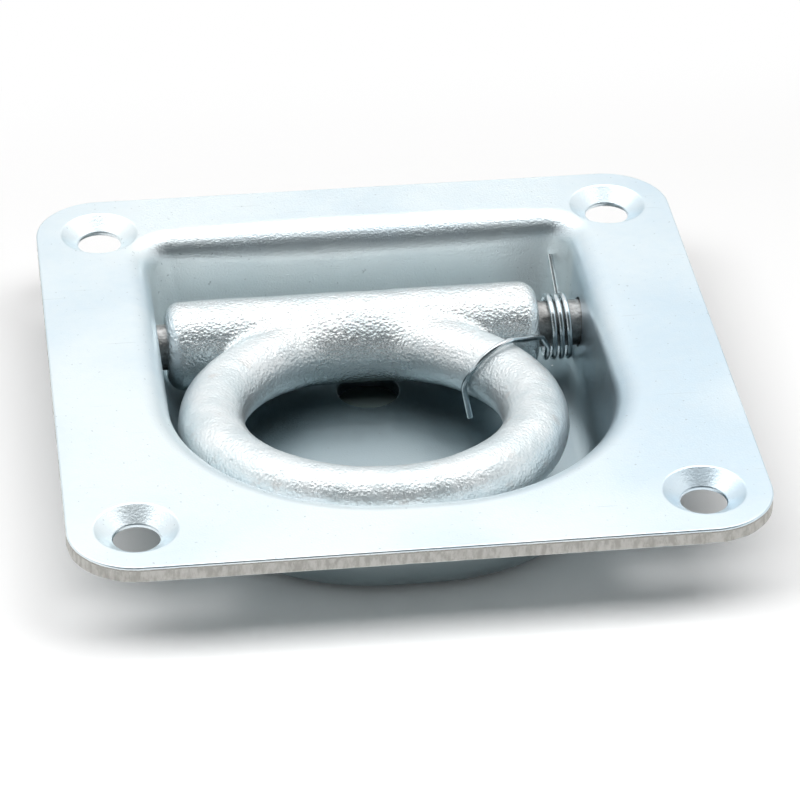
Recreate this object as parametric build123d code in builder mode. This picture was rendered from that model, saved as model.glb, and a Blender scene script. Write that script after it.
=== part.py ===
"""Recessed lashing ring: a pressed steel pan let into a deck, with a forged ring
that lies inside it on a hinge pin and is held down by a torsion spring.

The origin is the centre of the four fixing holes, on the underside of the
flange. +Z is up, out of the deck, and the ring's bow points along -Y.
"""

from build123d import *
import os
from math import cos, radians, sin, sqrt, tan

os.makedirs("parts", exist_ok=True)

# Flange, with its width left of and right of, behind and in front of the recess
flange_side = 120.0
flange_corner_radius = 12.0
sheet_thickness = 3.0
side_flange_width = 20.0
back_flange_width = 16.1
front_flange_width = 15.1

# Fixing holes, countersunk from above
fixing_hole_inset = 11.75
fixing_hole_diameter = 8.0
countersink_diameter = 14.4
countersink_angle = 110.0

# Recess; its walls lean, and its corners open out towards the floor
side_draft = 4.0
back_draft = 5.0
front_draft = 19.0
front_flat_half = 3.7
back_corner_at_mouth = 4.0
back_corner_at_floor = 6.5
lip_radius = 5.0
floor_bend_radius = 5.0

# Drain hole in the floor
drain_diameter = 11.5
drain_x = -0.7
drain_from_pin = 5.0

# Hinge pin
pin_diameter = 8.5
pin_drop = 12.0
pin_hole_clearance = 0.35
pin_head_diameter = 12.0
pin_head_thickness = 2.5
pin_head_edge_radius = 1.2
pin_seat_clearance = 0.05

# Lashing ring, forged in one piece with its barrel
stock_diameter = 12.0
bow_overhang = 0.3
barrel_wall = 3.97
barrel_end_share = 0.29
crotch_share = 0.083
barrel_bore_clearance = 0.08
barrel_side_play = 1.36
barrel_floor_clearance = 0.7
barrel_back_room = 8.55
ring_rest_tilt = 5.08
ring_rest_clearance = 0.25

# Return spring, of round wire
wire_diameter = 1.06
coil_pin_play = 0.97
coil_sag = 0.6
coil_pitch = 1.4
coil_full_turns = 3
coil_side_clearance = 0.86
coil_wall_clearance = 1.23
leg_start_angle = 24.0
leg_rise = 5.3
leg_offset = 1.4
leg_knee = 2.0
leg_corner_radius = 1.2
leg_knee_radius = 2.0
fixed_leg_slope = 38.5
fixed_leg_offset = 0.9
fixed_leg_bend = 1.5
fixed_leg_bend_radius = 3.0
leg_seat_clearance = 0.45
hook_clearance = 0.25
hook_end_length = 5.6
hook_end_tuck_angle = 11.0
# The hook's way over the stock: angles back along the bow, and round the stock
hook_route_angles = ((36.0, 200.0), (32.5, 170.0), (29.0, 138.0), (27.9, 100.0), (29.2, 70.0))


# Radii and heights that follow from the values above
pin_radius = pin_diameter / 2
stock_radius = stock_diameter / 2
wire_radius = wire_diameter / 2
barrel_radius = pin_radius + barrel_bore_clearance + barrel_wall
coil_radius = pin_radius + coil_pin_play + wire_radius
flange_top = sheet_thickness
pin_z = flange_top - pin_drop
floor_top = pin_z - barrel_radius - barrel_floor_clearance
pan_bottom = floor_top - sheet_thickness
recess_depth = flange_top - floor_top

# Places in the flange that follow from its side
fixing_pitch = flange_side - 2 * fixing_hole_inset
mouth_half_width = flange_side / 2 - side_flange_width
mouth_back = flange_side / 2 - back_flange_width
mouth_front = front_flange_width - flange_side / 2


def wall_half_width(level, growth=0.0):
    """Distance of a side wall from the middle at a height."""
    drop = flange_top - level
    return mouth_half_width - drop * tan(radians(side_draft)) + growth / cos(radians(side_draft))


def wall_back(level, growth=0.0):
    """Y of the back wall at a height."""
    drop = flange_top - level
    return mouth_back - drop * tan(radians(back_draft)) + growth / cos(radians(back_draft))


def wall_front(level, growth=0.0):
    """Y of the sloping front wall at a height."""
    drop = flange_top - level
    return mouth_front + drop * tan(radians(front_draft)) - growth / cos(radians(front_draft))


def back_corner(level, growth=0.0):
    """Radius of the two back corners, which opens out towards the floor."""
    share = (flange_top - level) / recess_depth
    return back_corner_at_mouth + share * (back_corner_at_floor - back_corner_at_mouth) + growth


def recess_outline(level, growth=0.0):
    """D-shaped outline of the recess at a height, grown sideways by a wall."""
    half_width = wall_half_width(level, growth)
    back = wall_back(level, growth)
    front = wall_front(level, growth)
    with BuildSketch(Plane.XY.offset(level)) as outline:
        with Locations((0, (back + front) / 2)):
            Rectangle(2 * half_width, back - front)
        corners = outline.vertices().group_by(Axis.Y)
        fillet(corners[-1], back_corner(level, growth))
        corners = outline.vertices().group_by(Axis.Y)
        fillet(corners[0], half_width - front_flat_half)
    return outline.sketch


def flat_face_at(part, level):
    """The horizontal face of a part at a height."""
    faces = part.faces().filter_by(GeomType.PLANE).filter_by(Axis.Z)
    return faces.filter_by_position(Axis.Z, level - 0.01, level + 0.01).sort_by(SortBy.AREA)[-1]


# The barrel lies in front of the back wall, with the coil's room at its right end
coil_turning = 360 * coil_full_turns + 90 + fixed_leg_slope - leg_start_angle
coil_length = coil_pitch * coil_turning / 360
coil_room = coil_side_clearance + wire_diameter + coil_length + coil_wall_clearance
barrel_left = barrel_side_play - wall_half_width(pin_z)
barrel_right = wall_half_width(pin_z) - coil_room
barrel_length = barrel_right - barrel_left
ring_x = (barrel_left + barrel_right) / 2
pin_y = wall_back(pin_z) - barrel_back_room - barrel_radius

# The bow is a little wider than the barrel is long, and its front rests on the sloping wall
bow_radius = barrel_length / 2 + bow_overhang - stock_radius
pin_to_front_wall = (pin_y - wall_front(pin_z)) * cos(radians(front_draft))
rest_slope = radians(front_draft + ring_rest_tilt)
bow_reach = (pin_to_front_wall - stock_radius - ring_rest_clearance) / cos(rest_slope) - bow_radius


# Pan: flange and recess pressed from one sheet
with BuildPart() as pan:
    with BuildSketch():
        RectangleRounded(flange_side, flange_side, flange_corner_radius)
    extrude(amount=sheet_thickness)
    loft([recess_outline(0, sheet_thickness), recess_outline(pan_bottom, sheet_thickness)], ruled=True)
    fillet(flat_face_at(pan, 0).inner_wires().edges(), lip_radius - sheet_thickness)
    fillet(flat_face_at(pan, pan_bottom).edges(), floor_bend_radius + sheet_thickness)
    loft([recess_outline(flange_top), recess_outline(floor_top)], ruled=True, mode=Mode.SUBTRACT)
    fillet(flat_face_at(pan, flange_top).inner_wires().edges(), lip_radius)
    fillet(flat_face_at(pan, floor_top).edges(), floor_bend_radius)
    with Locations((0, 0, flange_top)):
        with GridLocations(fixing_pitch, fixing_pitch, 2, 2):
            CounterSinkHole(
                fixing_hole_diameter / 2,
                countersink_diameter / 2,
                depth=sheet_thickness,
                counter_sink_angle=countersink_angle,
            )
    with Locations((drain_x, pin_y - drain_from_pin, floor_top)):
        Hole(drain_diameter / 2, depth=sheet_thickness)
    with BuildSketch(Plane.YZ):
        with Locations((pin_y, pin_z)):
            Circle(pin_radius + pin_hole_clearance)
    extrude(amount=flange_side / 2, both=True, mode=Mode.SUBTRACT)
pan.part.label = "pan"
export_step(pan.part, "parts/pan.step")


# The ring's own plane at rest, with its bow raised a little towards the front
ring_plane = Plane(
    origin=(0, pin_y, pin_z),
    x_dir=(1, 0, 0),
    z_dir=(0, sin(radians(ring_rest_tilt)), cos(radians(ring_rest_tilt))),
)


def on_ring(x, reach, rise):
    """Point at a distance from the pin towards the bow, and above the ring's own plane."""
    return ring_plane.from_local_coords(Vector(x, -reach, rise))


# The crotch fillet goes with the bow; the end is rounded within the barrel's bare part beside it
crotch_radius = crotch_share * bow_radius
bow_edge_x = sqrt((bow_radius + stock_radius) ** 2 - (bow_reach - barrel_radius) ** 2)
bare_end = barrel_length / 2 - bow_edge_x
barrel_end_radius = barrel_end_share * bare_end

# Lashing ring: the bow is a full round, and its back runs into the barrel
barrel_plane = Plane(origin=(barrel_left, pin_y, pin_z), x_dir=(0, 1, 0), z_dir=(1, 0, 0))
with BuildPart() as lashing_ring:
    with BuildSketch(barrel_plane):
        Circle(barrel_radius)
    extrude(amount=barrel_length)
    with Locations(ring_plane.location * Location((ring_x, -bow_reach, 0))):
        Torus(bow_radius, stock_radius)
    fillet(lashing_ring.edges(Select.NEW), crotch_radius)
    barrel_ends = lashing_ring.faces().filter_by(GeomType.PLANE).filter_by(Axis.X)
    fillet(barrel_ends.edges(), barrel_end_radius)
    with BuildSketch(barrel_plane):
        Circle(pin_radius + barrel_bore_clearance)
    extrude(amount=barrel_length, mode=Mode.SUBTRACT)
lashing_ring.part.label = "lashing_ring"
export_step(lashing_ring.part, "parts/lashing_ring.step")

# Hinge pin: a plain shank across the recess, its ends headed over outside the side walls
head_top_level = pin_z + pin_head_diameter / 2
head_seat = wall_half_width(head_top_level, sheet_thickness) + pin_seat_clearance
head_end = head_seat + pin_head_thickness
with BuildPart() as hinge_pin:
    with BuildSketch(Plane(origin=(-head_end, pin_y, pin_z), x_dir=(0, 1, 0), z_dir=(1, 0, 0))):
        Circle(pin_radius)
    extrude(amount=2 * head_end)
    for side in (-1, 1):
        head_plane = Plane(origin=(side * head_seat, pin_y, pin_z), x_dir=(0, 1, 0), z_dir=(side, 0, 0))
        with BuildSketch(head_plane):
            Circle(pin_head_diameter / 2)
        extrude(amount=pin_head_thickness)
    outer_faces = hinge_pin.faces().filter_by(Axis.X).group_by(Axis.X)
    fillet(outer_faces[0].edges() + outer_faces[-1].edges(), pin_head_edge_radius)
hinge_pin.part.label = "hinge_pin"
export_step(hinge_pin.part, "parts/hinge_pin.step")


def beside_stock(bow_angle, stock_angle):
    """Point of the wire's centre beside the ring's stock, at an angle back along the bow
    from its right side, and at an angle round the stock from its outer side over its top."""
    away = stock_radius + hook_clearance + wire_radius
    bow_place = bow_radius + away * cos(radians(stock_angle))
    return on_ring(
        ring_x + bow_place * cos(radians(bow_angle)),
        bow_reach - bow_place * sin(radians(bow_angle)),
        away * sin(radians(stock_angle)),
    )


# Return spring: a moving leg hooked over the ring's stock, a coil round the pin, and
# a fixed leg that bears on the back wall
coil_z = pin_z - coil_sag
coil_start_x = barrel_right + coil_side_clearance + wire_radius

# The coil starts at its top by itself, so it is turned on to where the moving leg meets it
coil_axis = Axis((coil_start_x, pin_y, coil_z), (1, 0, 0))
raw_coil = Helix(
    coil_pitch, coil_length, coil_radius, coil_axis.position, coil_axis.direction, mode=Mode.PRIVATE
)
coil = raw_coil.rotate(coil_axis, 90 + leg_start_angle)

# Moving leg: its end hangs in the eye, then it passes over the stock and down to the coil
hook_points = [beside_stock(bow_angle, stock_angle) for bow_angle, stock_angle in hook_route_angles]
tuck = radians(hook_end_tuck_angle)
hook_end_direction = ring_plane.x_dir * sin(tuck) - ring_plane.z_dir * cos(tuck)
leg_end = hook_points[0] + hook_end_direction * hook_end_length
coil_start = coil @ 0
coil_entry = coil % 0
leg_corner = coil_start - coil_entry * leg_rise - Vector(leg_offset, 0, 0)
leg_bend = coil_start - coil_entry * leg_knee

# Fixed leg, tangent to the underside of the coil and up to the leaning back wall
slope = radians(fixed_leg_slope)
wall_lean = tan(radians(back_draft))
wall_foot = wall_back(0) - leg_seat_clearance - wire_radius
leg_foot = coil_z - coil_radius * cos(slope) - (pin_y + coil_radius * sin(slope)) * tan(slope)
fixed_end_y = (wall_foot + leg_foot * wall_lean) / (1 - tan(slope) * wall_lean)
fixed_end_z = leg_foot + fixed_end_y * tan(slope)
coil_end = coil @ 1
coil_exit = coil % 1
fixed_bend = coil_end + coil_exit * fixed_leg_bend
fixed_end = Vector(coil_end.X - fixed_leg_offset, fixed_end_y, fixed_end_z)

with BuildPart() as return_spring:
    with BuildLine() as spring_path:
        Line(leg_end, hook_points[0])
        Spline(hook_points, tangents=[-hook_end_direction, leg_corner - hook_points[-1]])
        FilletPolyline(
            hook_points[-1],
            leg_corner,
            leg_bend,
            coil_start,
            radius=[leg_corner_radius, leg_knee_radius],
        )
        add(coil)
        FilletPolyline(coil_end, fixed_bend, fixed_end, radius=fixed_leg_bend_radius)
    wire_start = Plane(origin=spring_path.line @ 0, z_dir=spring_path.line % 0)
    with BuildSketch(wire_start):
        Circle(wire_radius)
    sweep(path=spring_path.line)
return_spring.part.label = "return_spring"
export_step(return_spring.part, "parts/return_spring.step")
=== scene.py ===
"""Looks of the recessed lashing ring: pressed zinc pan, forged ring, hinge pin and return spring.

Lengths are millimetres in the classes below, and metres only where a mesh, a lamp or the
camera is made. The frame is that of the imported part: the origin is the centre of the four
fixing holes on the underside of the flange, +Z is up and the ring's bow points along -Y.
"""

from __future__ import annotations

import logging
import math
from dataclasses import dataclass
from enum import Enum
from typing import Sequence, Union

import bmesh
import bpy
import numpy as np
from mathutils import Matrix, Vector, noise
from mathutils.geometry import delaunay_2d_cdt

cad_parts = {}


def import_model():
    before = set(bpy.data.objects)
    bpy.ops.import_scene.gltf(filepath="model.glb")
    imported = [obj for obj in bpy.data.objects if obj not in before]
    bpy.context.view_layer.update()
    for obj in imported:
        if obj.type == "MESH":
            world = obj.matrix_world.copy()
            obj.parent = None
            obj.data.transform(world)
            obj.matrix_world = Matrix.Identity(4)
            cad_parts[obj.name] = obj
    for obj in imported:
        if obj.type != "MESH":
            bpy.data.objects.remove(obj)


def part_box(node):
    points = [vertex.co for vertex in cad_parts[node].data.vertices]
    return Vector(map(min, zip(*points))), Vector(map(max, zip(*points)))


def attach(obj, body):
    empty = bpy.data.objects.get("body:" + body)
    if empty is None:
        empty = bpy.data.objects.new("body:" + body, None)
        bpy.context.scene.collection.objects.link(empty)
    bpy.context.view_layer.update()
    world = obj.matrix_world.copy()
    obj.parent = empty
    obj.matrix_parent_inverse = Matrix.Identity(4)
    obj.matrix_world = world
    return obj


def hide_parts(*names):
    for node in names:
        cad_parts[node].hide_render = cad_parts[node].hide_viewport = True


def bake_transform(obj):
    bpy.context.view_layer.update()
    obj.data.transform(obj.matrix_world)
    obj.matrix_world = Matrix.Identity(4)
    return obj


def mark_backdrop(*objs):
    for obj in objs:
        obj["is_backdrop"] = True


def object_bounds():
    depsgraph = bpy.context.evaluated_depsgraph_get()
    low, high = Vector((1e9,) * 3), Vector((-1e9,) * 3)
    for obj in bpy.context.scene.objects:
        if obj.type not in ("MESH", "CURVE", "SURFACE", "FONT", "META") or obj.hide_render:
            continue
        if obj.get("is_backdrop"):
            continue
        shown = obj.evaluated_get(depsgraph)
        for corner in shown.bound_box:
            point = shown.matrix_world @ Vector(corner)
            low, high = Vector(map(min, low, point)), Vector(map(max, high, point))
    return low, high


LOG = logging.getLogger("lashing_ring")
MM = 0.001
FACES_DOWN = -0.9
SAME_PLACE = 1e-6
SHEARED_MARK = "sheared"
UNDER_MARK = "underside"

Number = Union[int, float]
Triple = tuple[float, float, float]
Span = tuple[float, float]
# A row of a section: distance outwards, height, and the normal's part outwards and upwards.
Row = tuple[float, float, float, float]
WHITE: Triple = (1.0, 1.0, 1.0)


class Piece(Enum):
    """The CAD nodes, and the names of what stands for them."""

    PAN = "pan"
    RING = "lashing_ring"
    PIN = "hinge_pin"
    SPRING = "return_spring"

    @property
    def dressed(self) -> str:
        """Name of the piece that is shown."""
        return f"{self.value}_dressed"


class Body(Enum):
    """The CAD bodies that the pieces ride on."""

    PAN = "pan_body"
    RING = "ring_body"


def box_mm(piece: Piece) -> tuple[np.ndarray, np.ndarray]:
    """Reads a CAD node's lowest and highest corner in millimetres."""
    low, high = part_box(piece.value)
    return np.array(low) / MM, np.array(high) / MM


def unit(vectors: np.ndarray) -> np.ndarray:
    """Scales vectors, whose parts lie on the last axis, to length one."""
    return vectors / np.linalg.norm(vectors, axis=-1, keepdims=True)


def circle(steps: int) -> np.ndarray:
    """Unit vectors evenly round a circle, counter-clockwise from the first axis."""
    angles = np.linspace(0.0, 2 * np.pi, steps, endpoint=False)
    return np.column_stack([np.cos(angles), np.sin(angles)])


def shown(name: str, data: bpy.types.ID) -> bpy.types.Object:
    """Makes an object of a mesh, a lamp or a camera and puts it in the scene.

    Args:
        name: Name of the object.
        data: What it shows.

    Returns:
        The object, at the origin.
    """
    made = bpy.data.objects.new(name, data)
    bpy.context.scene.collection.objects.link(made)
    return made


def finished_mesh(source: bpy.types.Object, name: str) -> bpy.types.Mesh:
    """Takes the mesh that an object's modifiers give.

    Args:
        source: The object.
        name: Name of the mesh.

    Returns:
        The mesh, which no longer depends on the object.
    """
    made = bpy.data.meshes.new_from_object(source.evaluated_get(bpy.context.evaluated_depsgraph_get()))
    made.name = name
    return made


def smooth(mesh: bpy.types.Mesh) -> None:
    """Shades every face of a mesh smooth."""
    mesh.polygons.foreach_set("use_smooth", [True] * len(mesh.polygons))


class Value:
    """An output socket that takes part in arithmetic, adding its Math nodes as it goes."""

    def __init__(self, graph: "Graph", socket: bpy.types.NodeSocket) -> None:
        """Keeps the socket and the graph that it belongs to."""
        self.graph = graph
        self.socket = socket

    def _math(self, operation: str, *operands: "Operand") -> "Value":
        """Adds one Math node, with its operands in the order of its inputs."""
        return self.graph.node("ShaderNodeMath", {"operation": operation}, dict(enumerate(operands)))

    def __add__(self, other: "Operand") -> "Value":
        """Sum."""
        return self._math("ADD", self, other)

    def __radd__(self, other: "Operand") -> "Value":
        """Sum with a number on the left."""
        return self._math("ADD", other, self)

    def __sub__(self, other: "Operand") -> "Value":
        """Difference."""
        return self._math("SUBTRACT", self, other)

    def __rsub__(self, other: "Operand") -> "Value":
        """Difference with a number on the left."""
        return self._math("SUBTRACT", other, self)

    def __mul__(self, other: "Operand") -> "Value":
        """Product."""
        return self._math("MULTIPLY", self, other)

    def __rmul__(self, other: "Operand") -> "Value":
        """Product with a number on the left."""
        return self._math("MULTIPLY", other, self)

    def __pow__(self, other: "Operand") -> "Value":
        """Power."""
        return self._math("POWER", self, other)

    def stepped(self, start: Number, end: Number) -> "Value":
        """Rises smoothly from zero at start to one at end.

        Args:
            start: Where the rise begins.
            end: Where the rise ends.

        Returns:
            A value from zero to one.
        """
        return self.graph.node(
            "ShaderNodeMapRange",
            {"interpolation_type": "SMOOTHSTEP", "clamp": True},
            {"Value": self, "From Min": start, "From Max": end, "To Min": 0.0, "To Max": 1.0},
        )

    def size(self) -> "Value":
        """The value without its sign."""
        return self._math("ABSOLUTE", self)

    def at_most(self, limit: Number) -> "Value":
        """The value, or the limit where that is lower."""
        return self._math("MINIMUM", self, limit)

    def between(self, low: Number, high: Number) -> "Value":
        """Maps zero to one onto low to high."""
        return self * (high - low) + low


Operand = Union[Value, Number]
Given = Union[Value, Number, Triple]


@dataclass(frozen=True)
class Pattern:
    """Fractal noise, and the two of its heights between which patches of it come to show."""

    size: float
    layers: float = 2.0
    weight: float = 0.5
    hidden_to: float = 0.0
    full_from: float = 1.0

    @property
    def shows(self) -> Span:
        """The two heights between which patches come to show."""
        return self.hidden_to, self.full_from


class Graph:
    """The node tree of one material or world."""

    def __init__(self, tree: bpy.types.NodeTree) -> None:
        """Empties the tree, so that only this script's nodes are in it."""
        tree.nodes.clear()
        self.tree = tree

    def node(
        self,
        kind: str,
        settings: dict[str, object] | None = None,
        inputs: dict[int | str, Given] | None = None,
        output: int | str = 0,
    ) -> Value:
        """Adds any node as add does, and gives its output of that place or name."""
        made = self.add(kind, settings or {}, inputs or {})
        return Value(self, self._socket(made.outputs, output))

    def end(self, kind: str, shader: Value) -> None:
        """Ends the tree in an output node of that kind, which shows the shader."""
        self.add(kind, {}, {"Surface": shader})

    def add(self, kind: str, settings: dict[str, object], inputs: dict[int | str, Given]) -> bpy.types.Node:
        """Adds any node, with its settings set before its sockets.

        Args:
            kind: The node's type, as Blender names it.
            settings: Properties of the node, such as its operation.
            inputs: Numbers, colours, vectors or values for its sockets, by place or name.

        Returns:
            The node.
        """
        made = self.tree.nodes.new(kind)
        for name, setting in settings.items():
            setattr(made, name, setting)
        for key, given in inputs.items():
            socket = self._socket(made.inputs, key)
            if isinstance(given, Value):
                self.tree.links.new(given.socket, socket)
            elif isinstance(given, tuple) and socket.type == "RGBA":
                socket.default_value = (*given, 1.0)
            else:
                socket.default_value = given
        return made

    @staticmethod
    def _socket(sockets: Sequence[bpy.types.NodeSocket], key: int | str) -> bpy.types.NodeSocket:
        """Finds a socket by its place, or the enabled one of a name.

        Args:
            sockets: Inputs or outputs of a node.
            key: Place or name of the socket.

        Returns:
            The socket.
        """
        if isinstance(key, int):
            return sockets[key]
        return next(socket for socket in sockets if socket.name == key and socket.enabled)

    def place(self, turn: Triple = (0.0, 0.0, 0.0), stretch: Triple = (1.0, 1.0, 1.0)) -> Value:
        """Object coordinates in millimetres, turned and stretched for a directional pattern.

        Args:
            turn: Turn about the three axes, in degrees.
            stretch: Factor along each axis; a small one draws the pattern out.

        Returns:
            The coordinates as a vector.
        """
        coordinates = self.node("ShaderNodeTexCoord", output="Object")
        return self.node(
            "ShaderNodeMapping",
            {"vector_type": "POINT"},
            {
                "Vector": coordinates,
                "Rotation": tuple(math.radians(angle) for angle in turn),
                "Scale": tuple(factor / MM for factor in stretch),
            },
        )

    def along(self, place: Value, axis: str) -> Value:
        """The X, Y or Z component of coordinates."""
        return self.node("ShaderNodeSeparateXYZ", None, {"Vector": place}, axis)

    def noise(self, place: Value, pattern: Pattern) -> Value:
        """Fractal noise from zero to one.

        Args:
            place: Coordinates in millimetres.
            pattern: Its sizes.

        Returns:
            The noise.
        """
        return self.node(
            "ShaderNodeTexNoise",
            {"noise_dimensions": "3D"},
            {
                "Vector": place,
                "Scale": 1.0 / pattern.size,
                "Detail": pattern.layers,
                "Roughness": pattern.weight,
            },
        )

    def patches(self, place: Value, pattern: Pattern) -> Value:
        """Patches where a pattern's noise is high, from zero to one."""
        return self.noise(place, pattern).stepped(*pattern.shows)

    def cells(self, place: Value, size: float) -> Value:
        """Distance to the nearest of points scattered that far apart, as a share of their spacing."""
        return self.node("ShaderNodeTexVoronoi", {"feature": "F1"}, {"Vector": place, "Scale": 1.0 / size})

    def mix(self, share: Operand, first: Value | Triple, second: Value | Triple) -> Value:
        """Mixes two colours.

        Args:
            share: Share of the second colour.
            first: Colour at zero.
            second: Colour at one.

        Returns:
            The mixed colour.
        """
        return self.node(
            "ShaderNodeMix",
            {"data_type": "RGBA", "blend_type": "MIX", "clamp_factor": True},
            {"Factor": share, "A": first, "B": second},
            "Result",
        )

    def overlay(self, share: Value, first: Value, second: Value) -> Value:
        """Mixes two shaders by the share of the second."""
        return self.node("ShaderNodeMixShader", None, {0: share, 1: first, 2: second})

    def glow(self, colour: Value | Triple) -> Value:
        """A shader that shows its colour as it is, whatever the light."""
        return self.node("ShaderNodeEmission", None, {"Color": colour, "Strength": 1.0})

    def mark(self, name: str) -> Value:
        """Reads a number that the mesh carries at its points."""
        return self.node("ShaderNodeAttribute", {"attribute_name": name}, output="Fac")

    def bump(self, height: Value, depth: float, under: Value | None = None) -> Value:
        """Turns a height into a normal.

        Args:
            height: Height from zero to one.
            depth: What a height of one stands for, in millimetres.
            under: A normal that this one is laid on.

        Returns:
            The bent normal.
        """
        inputs: dict[int | str, Given] = {"Height": height, "Strength": 1.0, "Distance": depth * MM}
        if under is not None:
            inputs["Normal"] = under
        return self.node("ShaderNodeBump", None, inputs)

    def metal(self, colour: Value, roughness: Value, normal: Value, mirrored: Operand = 1.0) -> None:
        """Ends the tree in metal.

        Args:
            colour: Colour of its reflection.
            roughness: Roughness of the surface.
            normal: Bent normal of the surface.
            mirrored: Share of it that mirrors, the rest being matt.
        """
        inputs: dict[int | str, Given] = {
            "Base Color": colour,
            "Metallic": mirrored,
            "Roughness": roughness,
            "Normal": normal,
        }
        self.end("ShaderNodeOutputMaterial", self.node("ShaderNodeBsdfPrincipled", None, inputs))


@dataclass(frozen=True)
class Finish:
    """A surface finish, whose material is made at its first use and then shared."""

    name: str

    def material(self) -> bpy.types.Material:
        """Makes or finds the finish's material.

        Returns:
            The material.
        """
        found = bpy.data.materials.get(self.name)
        if found is not None:
            return found
        made = bpy.data.materials.new(self.name)
        made.use_nodes = True
        self.dress(Graph(made.node_tree))
        return made

    def dress(self, graph: Graph) -> None:
        """Builds the finish's nodes; each kind of finish has its own."""
        raise NotImplementedError


@dataclass(frozen=True)
class PressedZinc(Finish):
    """Bright zinc on pressed sheet: satin, faintly clouded, with a raw sheared edge."""

    name: str = "bright zinc on pressed sheet"
    pale: Triple = (0.83, 0.905, 0.93)
    blue: Triple = (0.65, 0.775, 0.86)
    clouds: Pattern = Pattern(34.0, 2.0, 0.5, 0.36, 0.66)
    clouds_share: float = 0.55
    # Painted shade: the flange turns bluer and darker towards the right.
    right_shade_span: Span = (10.0, 62.0)
    right_painted_shade_share: float = 0.45
    mottle: Pattern = Pattern(3.0, 4.0, 0.6)
    mottle_share: float = 0.5

    # Painted shade: the recess's walls and floor darken towards this colour near its floor.
    recessed: Triple = (0.40, 0.485, 0.52)
    recess_shade_levels: Span = (-17.8, -9.0)
    recess_painted_shade_share: float = 0.84
    # Painted light: the recess's back wall is lightened towards this colour.
    bright: Triple = (0.92, 0.99, 1.0)
    back_wall: Span = (33.0, 37.0)
    mouth_levels: Span = (-2.0, 1.0)
    back_wall_painted_light_share: float = 0.75
    bright_matt: float = 0.22

    dull: Triple = (0.36, 0.41, 0.42)
    specks: Pattern = Pattern(0.75, 2.0, 0.4, 0.70, 0.76)
    specks_share: float = 0.45
    scratches: Pattern = Pattern(0.45, 1.0, 0.5, 0.74, 0.80)
    scratches_share: float = 0.20
    scratch_turn: Triple = (0.0, 0.0, 28.0)
    scratch_stretch: Triple = (0.03, 1.0, 1.0)
    dust: Triple = (0.95, 0.95, 0.95)
    dust_spacing: float = 5.5
    dust_size: Span = (0.030, 0.055)
    dust_levels: Span = (-17.9, -16.5)
    # Painted shade: the sheet's underside is darkened towards this colour.
    under: Triple = (0.30, 0.36, 0.375)
    underside_painted_shade_share: float = 0.72

    sheared_light: Triple = (0.55, 0.545, 0.52)
    sheared_dark: Triple = (0.40, 0.39, 0.365)
    tears: Pattern = Pattern(0.9, 4.0, 0.65, 0.35, 0.62)
    tear_stretch: Triple = (1.0, 1.0, 0.35)
    # A dark line along the top of the sheared face, just below the rolled corner.
    top_dark_line: Triple = (0.16, 0.14, 0.12)
    top_dark_line_levels: Span = (2.15, 2.45)
    top_dark_line_tears: Span = (0.38, 0.56)
    top_dark_line_share: float = 0.7

    roughness: Span = (0.28, 0.41)
    grain_roughness: float = 0.12
    sheared_roughness: float = 0.22
    ripple: Pattern = Pattern(16.0, 1.0)
    ripple_depth: float = 0.10
    grain: Pattern = Pattern(0.36, 2.0, 0.6)
    grain_depth: float = 0.035
    back_lip: Span = (34.0, 41.0)
    back_lip_end: Span = (39.0, 42.0)
    back_grain_depth: float = 0.07
    tear_depth: float = 0.05

    def dress(self, graph: Graph) -> None:
        """Builds the finish's nodes.

        Args:
            graph: Node tree of the finish's material.
        """
        place = graph.place()
        ahead, height = graph.along(place, "Y"), graph.along(place, "Z")
        sheared = graph.mark(SHEARED_MARK)
        mottle = graph.noise(place, self.mottle)
        grain = graph.noise(place, self.grain)
        tears = graph.noise(graph.place(stretch=self.tear_stretch), self.tears)
        back_wall = ahead.stepped(*self.back_wall) * (1.0 - height.stepped(*self.mouth_levels))

        colour = self._zinc(graph, place, mottle, back_wall)
        colour = graph.mix(sheared, colour, self._torn(graph, height, tears))
        roughness = mottle.between(*self.roughness) + (grain - 0.5) * self.grain_roughness
        normal = graph.bump(graph.noise(place, self.ripple), self.ripple_depth)
        normal = graph.bump(grain * (1.0 - sheared), self.grain_depth, normal)
        aside = graph.along(place, "X").size().stepped(*self.back_lip_end)
        on_back_lip = ahead.stepped(*self.back_lip) * (1.0 - aside)
        normal = graph.bump(grain * on_back_lip, self.back_grain_depth, normal)
        normal = graph.bump(tears * sheared, self.tear_depth, normal)
        mirrored = 1.0 - back_wall * self.bright_matt
        graph.metal(colour, roughness + sheared * self.sheared_roughness, normal, mirrored)

    def _zinc(self, graph: Graph, place: Value, mottle: Value, back_wall: Value) -> Value:
        """Colours the pressed faces.

        Args:
            graph: Node tree of the finish's material.
            place: Object coordinates.
            mottle: Fine mottling.
            back_wall: One on the recess's back wall.

        Returns:
            The colour.
        """
        height = graph.along(place, "Z")
        tint = graph.patches(place, self.clouds) * self.clouds_share
        # Painted shade, bluer and darker towards the right side.
        tint = tint + graph.along(place, "X").stepped(*self.right_shade_span) * self.right_painted_shade_share
        tint = tint + (mottle - 0.5) * self.mottle_share
        colour = graph.mix(tint, self.pale, self.blue)
        # Painted shade darkens the recess towards its floor; painted light brightens the back wall.
        low_painted_shade = 1.0 - height.stepped(*self.recess_shade_levels)
        colour = graph.mix(low_painted_shade * self.recess_painted_shade_share, colour, self.recessed)
        colour = graph.mix(back_wall * self.back_wall_painted_light_share, colour, self.bright)
        drawn = graph.place(self.scratch_turn, self.scratch_stretch)
        worn = graph.patches(place, self.specks) * self.specks_share
        worn = worn + graph.patches(drawn, self.scratches) * self.scratches_share
        colour = graph.mix(worn, colour, self.dull)
        dust = 1.0 - graph.cells(place, self.dust_spacing).stepped(*self.dust_size)
        colour = graph.mix(dust * (1.0 - height.stepped(*self.dust_levels)), colour, self.dust)
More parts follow.
